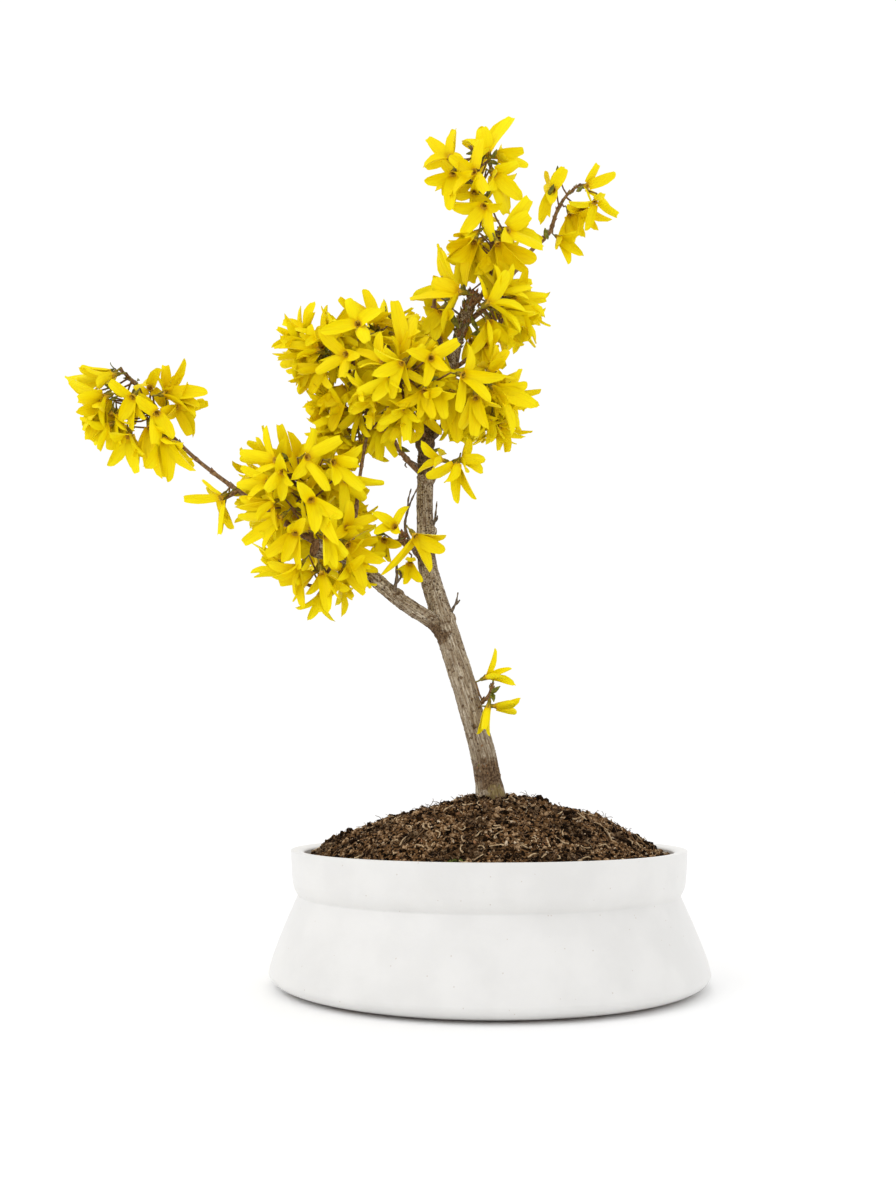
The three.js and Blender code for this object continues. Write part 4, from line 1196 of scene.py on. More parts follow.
def old_bark_finish():
    """Grey-brown bark: ribs along the limb, dark pores, and the dark and mossy patches of this trunk"""
    finish = Finish("old_bark", 0.86, Specular_IOR_Level=0.25)
    follow = finish.follow("grain")
    broad = finish.group("grain", Vector=follow, Fineness=0.5, Stretch=0.16)["Mask"]
    fine = finish.group("grain", Vector=follow, Fineness=1.4, Stretch=0.09)["Mask"]
    light = finish.mix(fine, srgb(128, 108, 84), finish.mix(broad, srgb(168, 149, 121), srgb(224, 211, 188)))
    rough = finish.group("mottle", Fineness=0.8, Low=0.45, High=0.55, Dark=srgb(58, 38, 22),
                         Light=srgb(144, 118, 88))["Colour"]
    dark = finish.mix(0.5, rough, finish.mix(fine, srgb(64, 42, 25), srgb(130, 106, 78)))
    shade = finish.group("mottle", Fineness=0.32, Low=0.56, High=0.68)["Mask"]
    for centre, reach in DARK_PATCHES:
        patch = finish.group("patch", Centre=centre, Reach=reach, Ragged=1.6, Fineness=0.28)["Mask"]
        shade = finish.maths("MAXIMUM", shade, patch)
    upper = finish.ramp(finish.height(), PLAIN_BELOW, SPECKLED_ABOVE, 0.3, 1.0, "LINEAR")
    specks, pores = (
        finish.maths("MULTIPLY", upper, finish.group("flecks", Vector=follow, **dots)["Mask"])
        for dots in (dict(Fineness=0.85, Size=0.46), dict(Fineness=0.3, Size=0.26)))
    bark = finish.mix(specks, finish.mix(shade, light, dark), srgb(94, 74, 52))
    moss = finish.group("patch", Centre=MOSSY_PATCH, Reach=MOSSY_REACH, Ragged=1.6)["Mask"]
    bark = finish.mix(moss, bark, finish.mix(fine, srgb(108, 88, 50), srgb(166, 146, 100)))
    finish.colour(finish.mix(pores, bark, srgb(68, 50, 36)))
    finish.bump(fine, 0.5, 0.8)
    return finish.material


def young_bark_finish(name, dark, light):
    """Reddish-brown skin of a young shoot, ribbed and dotted"""
    finish = Finish(name, 0.62, Specular_IOR_Level=0.35)
    ribs = finish.group("mottle", Fineness=0.5, Dark=dark, Light=light)
    dots = finish.group("flecks", Fineness=0.9, Size=0.2)["Mask"]
    finish.colour(finish.mix(dots, ribs["Colour"], srgb(168, 132, 96)))
    finish.bump(ribs["Mask"], 0.3, 0.6)
    return finish.material


# Three yellows of petal, each with the tone of its blade, of its throat and veins, and of its tip
PETAL_TONES = {
    "petal_clear_yellow": ((248, 229, 6), (235, 198, 2), (247, 231, 22)),
    "petal_bright_yellow": ((247, 226, 3), (233, 194, 1), (247, 228, 14)),
    "petal_golden_yellow": ((243, 219, 2), (226, 187, 1), (245, 223, 8)),
}


def petal_finish(name):
    """A petal: veins along it, paler toward the tip and deeper toward the throat"""
    tone, deep, pale = (srgb(*tone) for tone in PETAL_TONES[name])
    finish = Finish(name, 0.6, Subsurface_Weight=0.15, Subsurface_Radius=(0.9, 0.7, 0.02),
                    Subsurface_Scale=0.0012, Specular_IOR_Level=0.1)
    spread = finish.follow("petal_place")
    along = finish.add("SeparateXYZ", {0: spread})[1]
    scaled = finish.add("Mapping", {"Vector": spread, "Scale": (9.0, 1.1, 1.0)})[0]
    veins = finish.noise(scaled, 1.6)
    blade = finish.mix(finish.ramp(along, 0.55, 1.0, 0.0, 0.5), tone, pale)
    blade = finish.mix(finish.ramp(along, 0.2, 0.0), blade, deep)
    between_veins = finish.ramp(veins, 0.35, 0.6, kind="LINEAR")
    finish.colour(finish.mix(between_veins, finish.mix(0.34, blade, deep), blade))
    finish.bump(veins, 0.25, 0.4)
    return finish.material


def mottled_finish(name, roughness, sheen, dark, light, fineness, bump):
    """Two close tones in blotches, which the bump follows"""
    finish = Finish(name, roughness, Specular_IOR_Level=sheen)
    tint = finish.group("mottle", Fineness=fineness, Dark=srgb(*dark), Light=srgb(*light))
    finish.colour(tint["Colour"])
    finish.bump(tint["Mask"], *bump)
    return finish.material


# Small parts, such as sepals, stalks and straws: roughness, the dark tone and the light tone
SMALL_FINISHES = {
    "pale_grit": (0.7, (168, 146, 118), (206, 186, 158)),
    "rust_grit": (0.8, (128, 88, 58), (170, 124, 84)),
    "straw": (0.8, (150, 122, 88), (208, 182, 144)),
    "root_hair": (0.85, (66, 46, 28), (136, 106, 76)),
    "moss_green": (0.9, (52, 62, 16), (98, 108, 34)),
    "cork_pore": (0.9, (92, 72, 58), (150, 128, 106)),
    "dead_wood": (0.9, (74, 62, 50), (128, 112, 94)),
    "bud_scales": (0.7, (100, 64, 38), (164, 120, 76)),
    "bud_green": (0.6, (104, 96, 44), (138, 132, 64)),
    "flower_throat": (0.55, (186, 140, 16), (214, 172, 20)),
    "flower_anther": (0.6, (104, 72, 18), (156, 108, 26)),
    "sepal_olive": (0.6, (112, 98, 6), (156, 138, 18)),
    "stalk_olive": (0.6, (104, 100, 40), (142, 132, 60)),
    "young_leaf_green": (0.5, (88, 92, 12), (134, 128, 30)),
}


def small_finish(name):
    roughness, dark, light = SMALL_FINISHES[name]
    return mottled_finish(name, roughness, 0.3, dark, light, 0.6, (0.15, 0.4))


# The pot
def bezier(points, steps):
    """Points along a curve pulled by two to four points, the first left out"""
    points = np.array(points, float)
    line = []
    for step in range(1, steps + 1):
        share = step / steps
        level = points
        while len(level) > 1:
            level = level[:-1] * (1 - share) + level[1:] * share
        line.append(tuple(level[0]))
    return line


def pot_outline():
    foot, belly = (FOOT_RADIUS, 0), (POT_RADIUS, BELLY_HEIGHT)
    neck, band = (NECK_RADIUS, NECK_HEIGHT), (BAND_RADIUS - 1.3, 57)
    rim = BAND_RADIUS - 0.2
    line = [(0, 0), (FOOT_RADIUS * 0.5, 0), (FOOT_RADIUS - 3, 0), (FOOT_RADIUS - 0.6, 0.05)]
    line += bezier([foot, (118.5, 1.2), belly], 12)
    line += bezier([belly, (119, 17), (107.1, 43), neck], 26)
    line += bezier([neck, (107.9, 51.4), band], 12)
    line += bezier([band, (109.1, 64), (rim, POT_HEIGHT - 0.6)], 8)
    line += bezier([(rim, POT_HEIGHT - 0.6), (rim, POT_HEIGHT), (rim - 0.8, POT_HEIGHT)], 4)
    inside = (SOIL_RADIUS - 0.2, POT_HEIGHT - 2)
    line += bezier([(rim - 0.8, POT_HEIGHT), (SOIL_RADIUS, POT_HEIGHT), inside], 6)
    line += [(BAND_RADIUS - POT_WALL, BAND_HEIGHT), (NECK_RADIUS - POT_WALL, NECK_HEIGHT)]
    line += [(POT_RADIUS - POT_WALL, BELLY_HEIGHT + POT_FLOOR), (FOOT_RADIUS, POT_FLOOR), (0, POT_FLOOR)]
    return line


def make_pot(glaze):
    """The turned pot, its wall and foot swelled a little out of true"""
    mesh = new_mesh("pot_body", *turned_body(pot_outline(), POT_SIDES), [glaze])
    places = np.array([vertex.co for vertex in mesh.vertices])
    radii = np.linalg.norm(places[:, :2], axis=1)
    for place, radius in zip(places, radii):
        if radius < FOOT_RADIUS * MM * 0.9 or place[2] < 0.4 * MM:
            continue
        swell = noise.noise(Vector(place) * 14) * 0.35 + noise.noise(Vector((3, 5, place[2] * 160))) * 0.12
        place[:2] *= 1 + swell * MM / radius
    mesh.vertices.foreach_set("co", places.ravel())
    mesh.update()
    new_piece("pot_glazed", mesh, "glaze", "pot")


# The soil
def soil_clods():
    """The big clods and the small ones, which spread out by the golden angle"""
    draw = seeded_numbers(CLOD_SEED)
    clods = list(BIG_CLODS)
    for count in range(CLODS):
        x, y, _ = CLODS_REACH * math.sqrt((count + 0.5) / CLODS) * spun(count * GOLDEN_ANGLE)
        clods.append([x, y, between(draw, *CLOD_HEIGHTS), CLOD_SPREAD])
    return np.array(clods)


SOIL_CLODS = soil_clods()


def soil_height(x, y):
    share = min(1, math.hypot(x, y) / SOIL_RADIUS)
    dome = SOIL_EDGE_HEIGHT + SOIL_RISE * (1 - share**SOIL_ROUNDNESS)
    near_x, near_y, heights, spreads = SOIL_CLODS.T
    clods = (heights * np.exp(-((x - near_x) ** 2 + (y - near_y) ** 2) / spreads**2)).sum()
    crumbs = noise.fractal(Vector((x, y, 0)) * 0.2, 0.8, 2.1, 5) * 1.3 * min(1, 6 * (1 - share))
    return dome + min(1, CLOD_FADE * (1 - share)) * clods + crumbs


def make_soil_mesh(finish):
    """The mound, down to a plain underside inside the pot"""
    edge = SOIL_RADIUS - 0.3
    ways = round_ways(SOIL_SIDES)
    places = [(0, 0, soil_height(0, 0))]
    for ring in range(1, SOIL_RINGS + 1):
        for x, y, _ in [edge * ring / SOIL_RINGS * way for way in ways]:
            places.append((x, y, soil_height(x, y)))
    last, low = len(places) - SOIL_SIDES, len(places)
    faces = fan_faces(0, 1, SOIL_SIDES)
    for inner in range(1, low, SOIL_SIDES):
        faces += band_faces(inner, inner + SOIL_SIDES, SOIL_SIDES, turned=True)
    places += [(x * SOIL_TAPER, y * SOIL_TAPER, SOIL_EDGE_HEIGHT - SOIL_DEPTH) for x, y, _ in places[last:]]
    faces.append(tuple(reversed(range(low, len(places)))))
    return new_mesh("soil_mound", places, faces, [finish])


def crumb_mesh(name, draw, stretch, rounds=1):
    """A small angular lump with twenty faces"""
    golden = (1 + math.sqrt(5)) / 2
    corners = [(-1, golden, 0), (1, golden, 0), (-1, -golden, 0), (1, -golden, 0), (0, -1, golden),
               (0, 1, golden), (0, -1, -golden), (0, 1, -golden), (golden, 0, -1), (golden, 0, 1),
               (-golden, 0, -1), (-golden, 0, 1)]
    faces = [(0, 11, 5), (0, 5, 1), (0, 1, 7), (0, 7, 10), (0, 10, 11), (1, 5, 9), (5, 11, 4), (11, 10, 2),
             (10, 7, 6), (7, 1, 8), (3, 9, 4), (3, 4, 2), (3, 2, 6), (3, 6, 8), (3, 8, 9), (4, 9, 5),
             (2, 4, 11), (6, 2, 10), (8, 6, 7), (9, 8, 1)]
    places = [unit(np.array(corner)) * between(draw, 1 - 0.35 * rounds, 1 + 0.1 * rounds) * np.array(stretch)
              for corner in corners]
    return new_mesh(name, places, faces, smooth=False)


def fibre_lines(count, seed, length, radius, lift):
    """Root hairs and straws lying on the soil, a few of them standing up"""
    draw = seeded_numbers(seed)
    lines = []
    for _ in range(count):
        distance = math.sqrt(draw()) * (SOIL_RADIUS - 7)
        angle, way = between(draw, 0, 2 * math.pi), between(draw, 0, 2 * math.pi)
        place = distance * spun(angle)[:2]
        long, bend, rise = between(draw, *length), between(draw, -0.9, 0.9), between(draw, *lift)
        route = []
        for step in range(6):
            height = soil_height(*place) + radius + rise * math.sin(step / 5 * math.pi / 2) ** 2
            route.append((*place, height))
            place = place + long / 5 * spun(way)[:2]
            if np.linalg.norm(place) > SOIL_RADIUS - 2.5:
                break
            way += bend
        if len(route) > 2:
            lines.append((route, np.linspace(radius, radius * 0.5, len(route))))
    return lines


# Litter strewn on the mound: piece, forms, their stretch and roughness, how many to a square
# millimetre, their smallest and largest size, seed, and the three finishes
LITTER = [
    ("soil_crumbs", 4, (1, 0.85, 0.7), 1, 0.2, (0.5, 1.7), 3, ("soil_black", "soil_dark", "soil_brown")),
    ("soil_bits", 4, (1, 0.7, 0.55), 1, 0.07, (0.35, 1.0), 8, ("soil_brown", "soil_tan", "soil_black")),
    ("soil_clumps", 4, (1, 0.9, 0.7), 1, 0.011, (1.8, 3.3), 14, ("soil_black", "soil_dark", "soil_brown")),
    ("soil_grit", 3, (1.6, 0.9, 0.7), 0.4, 0.004, (0.6, 1.5), 5, ("pale_grit", "rust_grit", "soil_tan")),
]


def make_soil():
    finishes = {name: soil_finish(name) for name in SOIL_TONES}
    finishes.update({name: small_finish(name) for name in ("pale_grit", "rust_grit")})
    mound = make_soil_mesh(finishes["soil_dark"])
    new_piece("soil_mound", mound, "soil", "soil")
    draw, tree = seeded_numbers(11), litter_tree()
    for name, forms, stretch, rounds, density, (smallest, largest), seed, tones in LITTER:
        lumps = [crumb_mesh(f"{name}_lump_{count}", draw, stretch, rounds) for count in range(forms)]
        litter = run_with_forms(name, mound.copy(), tree, lumps, [finishes[tone] for tone in tones],
                                Density=density / MM / MM, Smallest=smallest, Largest=largest, Seed=seed)
        new_piece(name, litter, "soil")
    straws, roots = fibre_lines(170, 21, (3, 8), 0.55, (0, 2.2)), fibre_lines(460, 22, (3, 9), 0.26, (0, 4.4))
    tube_piece("soil_straws", straws, 4, small_finish("straw"), "soil")
    tube_piece("soil_roots", roots, 3, small_finish("root_hair"), "soil")
    place_moss(draw)


def place_moss(draw):
    """A small tuft of moss near the front of the rim"""
    points = []
    for _ in range(MOSS_LUMPS):
        angle, distance = between(draw, 0, 2 * math.pi), math.sqrt(draw()) * MOSS_REACH
        x, y, _ = distance * spun(angle)
        x, y = MOSS_PLACE[0] + x * 1.5, MOSS_PLACE[1] + y * 0.7
        if math.hypot(x, y) > SOIL_RADIUS - 1.5:
            continue
        axes = random_axes(draw)
        points.append(new_point((x, y, soil_height(x, y) + 0.6), axes, between(draw, 0.4, 0.9)))
    lump = crumb_mesh("moss_lump", draw, (0.8, 0.8, 1.2))
    form_piece("moss_tuft", points, [lump], [small_finish("moss_green")], "soil")


def random_axes(draw):
    first = unit(np.array([between(draw, -1, 1) for _ in range(3)]))
    second = unit(np.cross(first, unit(np.array([between(draw, -1, 1) for _ in range(3)]) + 0.01)))
    return [first, second, np.cross(first, second)]


# The trunk and the old boughs
def limb_frames(route, spacing):
    """Places, shares, and a frame that turns as little as it can along a route"""
    places, shares = route.samples(spacing)
    ways = np.gradient(places, axis=0)
    ways /= np.linalg.norm(ways, axis=1)[:, None]
    side = unit(np.cross(ways[0], [0.1, 1, 0.05]))
    frames = []
    for way in ways:
        side = unit(side - way * np.dot(side, way))
        frames.append((side, np.cross(way, side), way))
    return places, shares, frames


def limb_body(limb, sides=24, spacing=2):
    """Rings of places round a limb, and faces that close it"""
    places, shares, frames = limb_frames(Route(limb["route"]), spacing)
    corners = []
    for place, share, (first, second, _) in zip(places, shares, frames):
        radius = radius_at(limb["girth"], share)
        corners += [place + radius * way for way in round_ways(sides, first, second)]
    return corners, tube_faces(len(places), sides)


def knob_body(place, radius, rings=7, sides=12):
    """A ball that swells the wood at a knot"""
    corners = []
    for ring in range(1, rings + 1):
        tilt = math.pi * ring / (rings + 1)
        for way in round_ways(sides):
            corners.append(np.array(place) + radius * (way * math.sin(tilt) - [0, 0, math.cos(tilt)]))
    return corners, tube_faces(rings, sides)


# Knots that swell the old wood, the last five at its foot: place and radius
KNOTS = [
    ((-24, -3.5, 194), 7.4), ((-27.5, -5, 197.5), 6.2), ((-35, -2, 284), 5.7), ((-35.8, -3, 304), 6.1),
    ((-37.5, -3.5, 309), 4.6), ((-31, -2.5, 312), 4.6), ((-38.5, -3, 241), 4.9), ((-20.8, 2, 352), 4.6),
    ((-13.6, 4, 383), 4.0), ((-73, -22.5, 230.5), 4.4), ((-51.5, -13, 212.3), 4.5),
    ((-33.0, -2.4, 252), 4.2), ((-9.4, -3.6, 150), 6.4), ((-22.6, -4, 200.5), 4.9), ((9.5, -1, 94), 4.2),
    ((-4, -6.5, 94), 4.6), ((-3, 6.5, 94), 4.4), ((5, 7, 94), 4.2), ((4, -7.5, 93.5), 4),
]


def fused_wood():
    """Trunk, boughs and knots as one skin of even small faces"""
    bodies = [limb_body(limb) for limb in OLD_WOOD.values()] + [knob_body(*knot) for knot in KNOTS]
    holder = new_object("wood_shells", new_mesh("wood_shells", *join_bodies(bodies)))
    remesh = holder.modifiers.new("one_skin", "REMESH")
    remesh.mode = "VOXEL"
    remesh.voxel_size = SKIN_FACE * MM
    return plain_mesh(holder)


def relax(mesh, places, rounds):
    """Evens the skin out by moving each place toward the middle of its neighbours"""
    edges = np.empty(len(mesh.edges) * 2, int)
    mesh.edges.foreach_get("vertices", edges)
    first, second = edges.reshape(-1, 2).T
    counts = np.bincount(np.concatenate([first, second]), minlength=len(places))[:, None]
    for _ in range(rounds):
        total = np.zeros_like(places)
        np.add.at(total, first, places[second])
        np.add.at(total, second, places[first])
        places = places * 0.4 + 0.6 * total / counts
    return places


def grain_places(places):
    """Each place as the limb sees it: two coordinates across the limb, and the length along it"""
    grain = np.zeros_like(places)
    nearest = np.full(len(places), np.inf)
    for number, limb in enumerate(OLD_WOOD.values()):
        route = Route(limb["route"])
        centres, shares, frames = limb_frames(route, 0.8)
        firsts, seconds, _ = (np.array(axis) for axis in zip(*frames))
        for start in range(0, len(places), 8000):
            block = slice(start, start + 8000)
            gaps = np.linalg.norm(places[block, None] - centres[None], axis=2)
            best = gaps.argmin(axis=1)
            distance = gaps[np.arange(len(best)), best] - radius_at(limb["girth"], shares[best])
            offset = places[block] - centres[best]
            seen = np.stack([(offset * firsts[best]).sum(1), (offset * seconds[best]).sum(1),
                             shares[best] * route.length + 400 * number], axis=1)
            closer = distance < nearest[block]
            grain[block][closer] = seen[closer]
            nearest[block] = np.minimum(distance, nearest[block])
    return grain


def relief(grain):
    """Height of the bark over the smooth limb: broad flutes, ribs, and knobbly wrinkles"""
    across = Vector((grain[0], grain[1], 0))
    round_way = across.normalized() * 3 if across.length > 0 else across
    flutes = noise.noise(round_way + Vector((0, 0, grain[2] * 0.03)))
    ribs = noise.noise(across * 0.75 + Vector((0, 0, grain[2] * 0.07)))
    fine = noise.noise(across * 1.7 + Vector((9, 0, grain[2] * 0.22)))
    wrinkles = noise.noise(across * 0.35 + Vector((4, 4, grain[2] * 0.9)))
    pits = noise.noise(across * 1.1 + Vector((7, 2, grain[2] * 0.8)))
    return 0.5 * flutes + 0.42 * ribs + 0.3 * fine + 0.16 * wrinkles - 0.35 * max(0, pits - 0.35)


def make_old_wood(bark, cork):
    skin = fused_wood()
    places = relax(skin, np.array([vertex.co for vertex in skin.vertices]) / MM, SKIN_ROUNDS)
    skin.vertices.foreach_set("co", (places * MM).ravel())
    skin.update()
    normals = np.array([vertex.normal for vertex in skin.vertices])
    grain = grain_places(places)
    heights = np.array([relief(place) for place in grain])
    places = places + normals * heights[:, None]
    places[:, 2] = np.maximum(places[:, 2], GROUND - WOOD_UNDERGROUND)
    skin.vertices.foreach_set("co", (places * MM).ravel())
    give_points(skin, "grain", "FLOAT_VECTOR", grain)
    skin.polygons.foreach_set("use_smooth", [True] * len(skin.polygons))
    skin.update()
    pore = bpy.data.objects.new("pore", crumb_mesh("pore", seeded_numbers(4), (0.55, 0.9, 0.3), 0.5))
    values = {"Pore": pore, "Density": 0.03 / MM / MM, "Smallest": 0.5, "Largest": 1.2, "Seed": 6,
              "Bark": bark, "Cork": cork}
    made = run_tree("old_wood", skin, pore_tree(), values)
    bpy.data.objects.remove(pore)
    new_piece("old_wood", made, "bark", *OLD_WOOD)


def cut_body(name, radius, along, draw):
    """A dished disc across the end of a limb"""
    centres, _, frames = limb_frames(Route(OLD_WOOD[name]["route"]), 1)
    *level, way = frames[-1]
    centre = centres[-1] + way * along
    places = [centre + way * 0.2]
    for ring in range(1, CUT_RINGS + 1):
        for out in round_ways(CUT_SIDES, *level):
            edge = 0.5 if ring == CUT_RINGS else 0
            dish = 0.25 * math.cos(ring * 2.4) + between(draw, -0.12, 0.12) - edge
            places.append(centre + out * radius * ring / CUT_RINGS + way * dish)
    back = len(places)
    rim = back - CUT_SIDES
    faces = fan_faces(0, 1, CUT_SIDES)
    for inner in range(1, rim, CUT_SIDES):
        faces += band_faces(inner, inner + CUT_SIDES, CUT_SIDES, turned=True)
    faces += [(middle, after, before) for middle, before, after in fan_faces(back, rim, CUT_SIDES)]
    return [*places, centre - way * 1.5], faces


def make_cut_faces():
    """Weathered cuts across the trunk's top and the low bough's end"""
    draw = seeded_numbers(17)
    bodies = [cut_body("trunk", 3.0, 0.4, draw), cut_body("left_bough", 5.0, 0.5, draw)]
    finish = mottled_finish("cut_wood", 0.9, 0.2, (96, 68, 44), (150, 116, 80), 0.5, (0.5, 0.7))
    new_piece("cut_faces", new_mesh("cut_faces", *join_bodies(bodies), [finish]), "bark")


# Shoots, stems and twigs
def shoot_line(route, radius):
    """A thin limb as a line, a little thicker at each of its nodes"""
    places, shares = route.samples(0.9)
    nearest = np.abs((shares * route.length - FIRST_NODE + NODE_EVERY / 2) % NODE_EVERY - NODE_EVERY / 2)
    swell = 1 + 0.28 * np.exp(-((nearest / 1.1) ** 2))
    return places, [radius(share) * more for share, more in zip(shares, swell)]


def straight_line(start, end, radii, sag=0.0):
    middle = (np.asarray(start) + np.asarray(end)) / 2 - np.array([0, 0, sag])
    return [start, middle, end], [radii[0], (radii[0] + radii[1]) / 2, radii[1]]


def shoot_limbs():
    return [(Route(limb["route"]), lambda share, girth=limb["girth"]: radius_at(girth, share))
            for limb in YOUNG_SHOOTS.values()]


def bud_points(draw, tones):
    """Buds in opposite pairs at the nodes of the shoots and stems"""
    points = []
    stems = [(Route(mass["stem"]), lambda share: 1.2 - 0.4 * share) for mass in MASSES.values()]
    for route, radius in shoot_limbs() + stems:
        centres, shares, frames = limb_frames(route, 1)
        for length in np.arange(FIRST_NODE, route.length - 1, NODE_EVERY):
            count = int(round(length / route.length * (len(centres) - 1)))
            *level, way = frames[count]
            angle = between(draw, 0, math.pi)
            for hand in (0, math.pi):
                if draw() < 0.35:
                    continue
                out = spun(angle + hand, *level)
                up = unit(out * 0.65 + way)
                side = unit(np.cross(up, way))
                place = centres[count] + out * radius(shares[count]) * 0.7
                points.append(new_point(place, [side, np.cross(up, side), up], between(draw, 0.45, 0.85),
                                        tone=int(draw() * tones)))
    return points


# Where scaly buds crowd on a limb: from and to as shares of its length, how many, and their size
BUD_CROWDS = [
    ("trunk", 0.9, 1, 70, 1.7), ("trunk", 0.84, 0.96, 50, 1), ("trunk", 0.6, 0.7, 30, 0.9),
    ("trunk", 0.02, 0.13, 130, 0.9), ("knot_stub", 0.3, 1, 16, 1), ("knot_spray", 0, 1, 60, 1.5),
    ("left_bough", 0.8, 0.98, 14, 1), ("right_top_shoot", 0.62, 0.76, 30, 1.2),
    ("right_top_shoot", 0.85, 1, 26, 0.9), ("right_top_shoot", 0.3, 0.5, 14, 1),
    ("top_shoot", 0.3, 0.5, 12, 1), ("centre_left_shoot", 0.3, 0.36, 5, 1),
    ("left_shoot", 0.9, 1, 10, 0.9), ("trunk_sprout", 0, 1, 22, 1.1), ("right_top", 0, 1, 30, 0.8),
    ("left_tip", 0.4, 1, 12, 0.7), ("top", 0, 1, 18, 0.8), ("upper_mid", 0, 1, 12, 0.8),
]


def crowd_points(draw, tones):
    """Scaly buds and short stubs that crowd on old flowering wood"""
    points = []
    stems = {name: dict(route=mass["stem"], girth=STEM_GIRTH) for name, mass in MASSES.items()}
    limbs = {**OLD_WOOD, **YOUNG_SHOOTS, **stems}
    for name, start, end, count, size in BUD_CROWDS:
        centres, _, frames = limb_frames(Route(limbs[name]["route"]), 1)
        for _ in range(count):
            share = between(draw, start, end)
            place = int(round(share * (len(centres) - 1)))
            *level, way = frames[place]
            out = spun(between(draw, 0, 2 * math.pi), *level)
            up = unit(out * between(draw, 0.3, 0.9) + way + np.array([0, 0, 0.3]))
            side = unit(np.cross(up, way + out * 0.1))
            foot = centres[place] + out * radius_at(limbs[name]["girth"], share) * 0.85
            bud = size * np.array([0.8, 0.8, between(draw, 0.4, 0.9)])
            points.append(new_point(foot, [side, np.cross(up, side), up], bud, tone=int(draw() ** 2 * tones)))
    return points


def make_shoots(sprays):
    young = young_bark_finish("young_bark", srgb(98, 68, 40), srgb(150, 118, 82))
    red = young_bark_finish("twig_bark", srgb(96, 66, 34), srgb(140, 106, 62))
    lines = [shoot_line(*limb) for limb in shoot_limbs()]
    tube_piece("young_shoots", lines, 9, young, "young_bark", *YOUNG_SHOOTS)
    lines = [shoot_line(Route(mass["stem"]), lambda share: 1.35 - 0.55 * share) for mass in MASSES.values()]
    lines += [straight_line(spray["start"], spray["node"], (0.62, 0.5), 1.5) for spray in sprays]
    tube_piece("blossom_twigs", lines, 6, red, "young_bark")
    finishes = [small_finish("bud_scales"), small_finish("bud_green")]
    points = bud_points(seeded_numbers(31), len(finishes)) + crowd_points(seeded_numbers(37), len(finishes))
    bud = new_mesh("bud", *turned_body(BUD_OUTLINE, 6))
    form_piece("shoot_buds", points, [bud], finishes, "young_bark")


def make_spurs():
    lines = []
    for route, foot, tip in SPURS:
        smooth = Route(route)
        places, shares = smooth.samples(1)
        lines.append((places, [foot + (tip - foot) * share + 0.12 * math.sin(share * smooth.length * 1.3)
                               for share in shares]))
    tube_piece("dead_spurs", lines, 7, small_finish("dead_wood"), "bark")


# Flowers
# Flowers
PETAL_FORMS = [
    # reflex, twist, channel, tip width, tip pull, wave
    (0.28, 0.15, 0.22, 0.34, 0.5, 0.12),
    (0.45, -0.35, 0.26, 0.44, 0.4, 0.18),
    (0.10, 0.30, 0.14, 0.54, 0.0, 0.12),
    (0.60, 0.10, 0.30, 0.14, 0.8, 0.22),
    (0.20, -0.15, -0.10, 0.56, -0.5, 0.16),
    (0.34, 0.55, 0.26, 0.22, 0.7, 0.20),
    (0.00, -0.50, 0.34, 0.40, 0.5, 0.16),
    (0.50, 0.20, -0.14, 0.48, 0.2, 0.24),
]


def petal_mesh(name, reflex, twist, channel, tip, pull, wave):
    """One strap petal along +X, its inner face up: two sheets that meet along the edge"""
    columns = PETAL_COLUMNS + 1
    upper, lower, spread = [], [], []
    place, level = np.zeros(3), np.array([0, 1, 0])
    for step, share in enumerate(PETAL_SHARES):
        lean, turn = reflex * share, twist * share
        way = np.array([math.cos(lean), 0, -math.sin(lean)])
        normal = np.array([math.sin(lean), 0, math.cos(lean)])
        across, lift = spun(turn, level, normal), spun(turn, normal, -level)
        half = petal_half_width(share, tip)
        for column in range(columns):
            side = 2 * column / PETAL_COLUMNS - 1
            ripple = wave * math.sin(share * 9 + 2 * side) * abs(side)
            corner = place + across * half * side + lift * (half * channel * 2 * side * side + ripple)
            if step == PETAL_STEPS:
                corner = corner + way * pull * (1 - side * side) * 1.6
            thickness = PETAL_THICKNESS * (1 - side * side) * min(1, 8 * (1 - share), 8 * share)
            upper.append(corner + lift * thickness * 0.3)
            lower.append(corner - lift * thickness * 0.7)
            spread.append((0.5 + side * half / PETAL_WIDTH, share, 0))
        if step < PETAL_STEPS:
            place = place + way * PETAL_LENGTH * (PETAL_SHARES[step + 1] - share)
    under = list(range(len(upper)))
    for corner in under[:]:
        if 0 < corner // columns < PETAL_STEPS and 0 < corner % columns < PETAL_COLUMNS:
            under[corner] = len(upper)
            upper.append(lower[corner])
            spread.append(spread[corner])
    faces = []
    for step in range(PETAL_STEPS):
        for corner in range(step * columns, step * columns + PETAL_COLUMNS):
            quad = (corner, corner + columns, corner + columns + 1, corner + 1)
            faces += [quad, tuple(under[place] for place in reversed(quad))]
    mesh = new_mesh(name, upper, faces)
    give_points(mesh, "petal_place", "FLOAT_VECTOR", spread)
    mesh.set_sharp_from_angle(angle=math.radians(60))
    return mesh


def heart_mesh():
    """Two anthers and the tip of the pistil in the throat"""
    bodies = []
    for place, radius, height in HEART_PARTS:
        outline = [(0, -height), (radius, -height * 0.4), (radius, height * 0.4), (0, height)]
        places, faces = turned_body(outline, 5)
        bodies.append((np.array(places) + place, faces))
    return new_mesh("heart", *join_bodies(bodies))


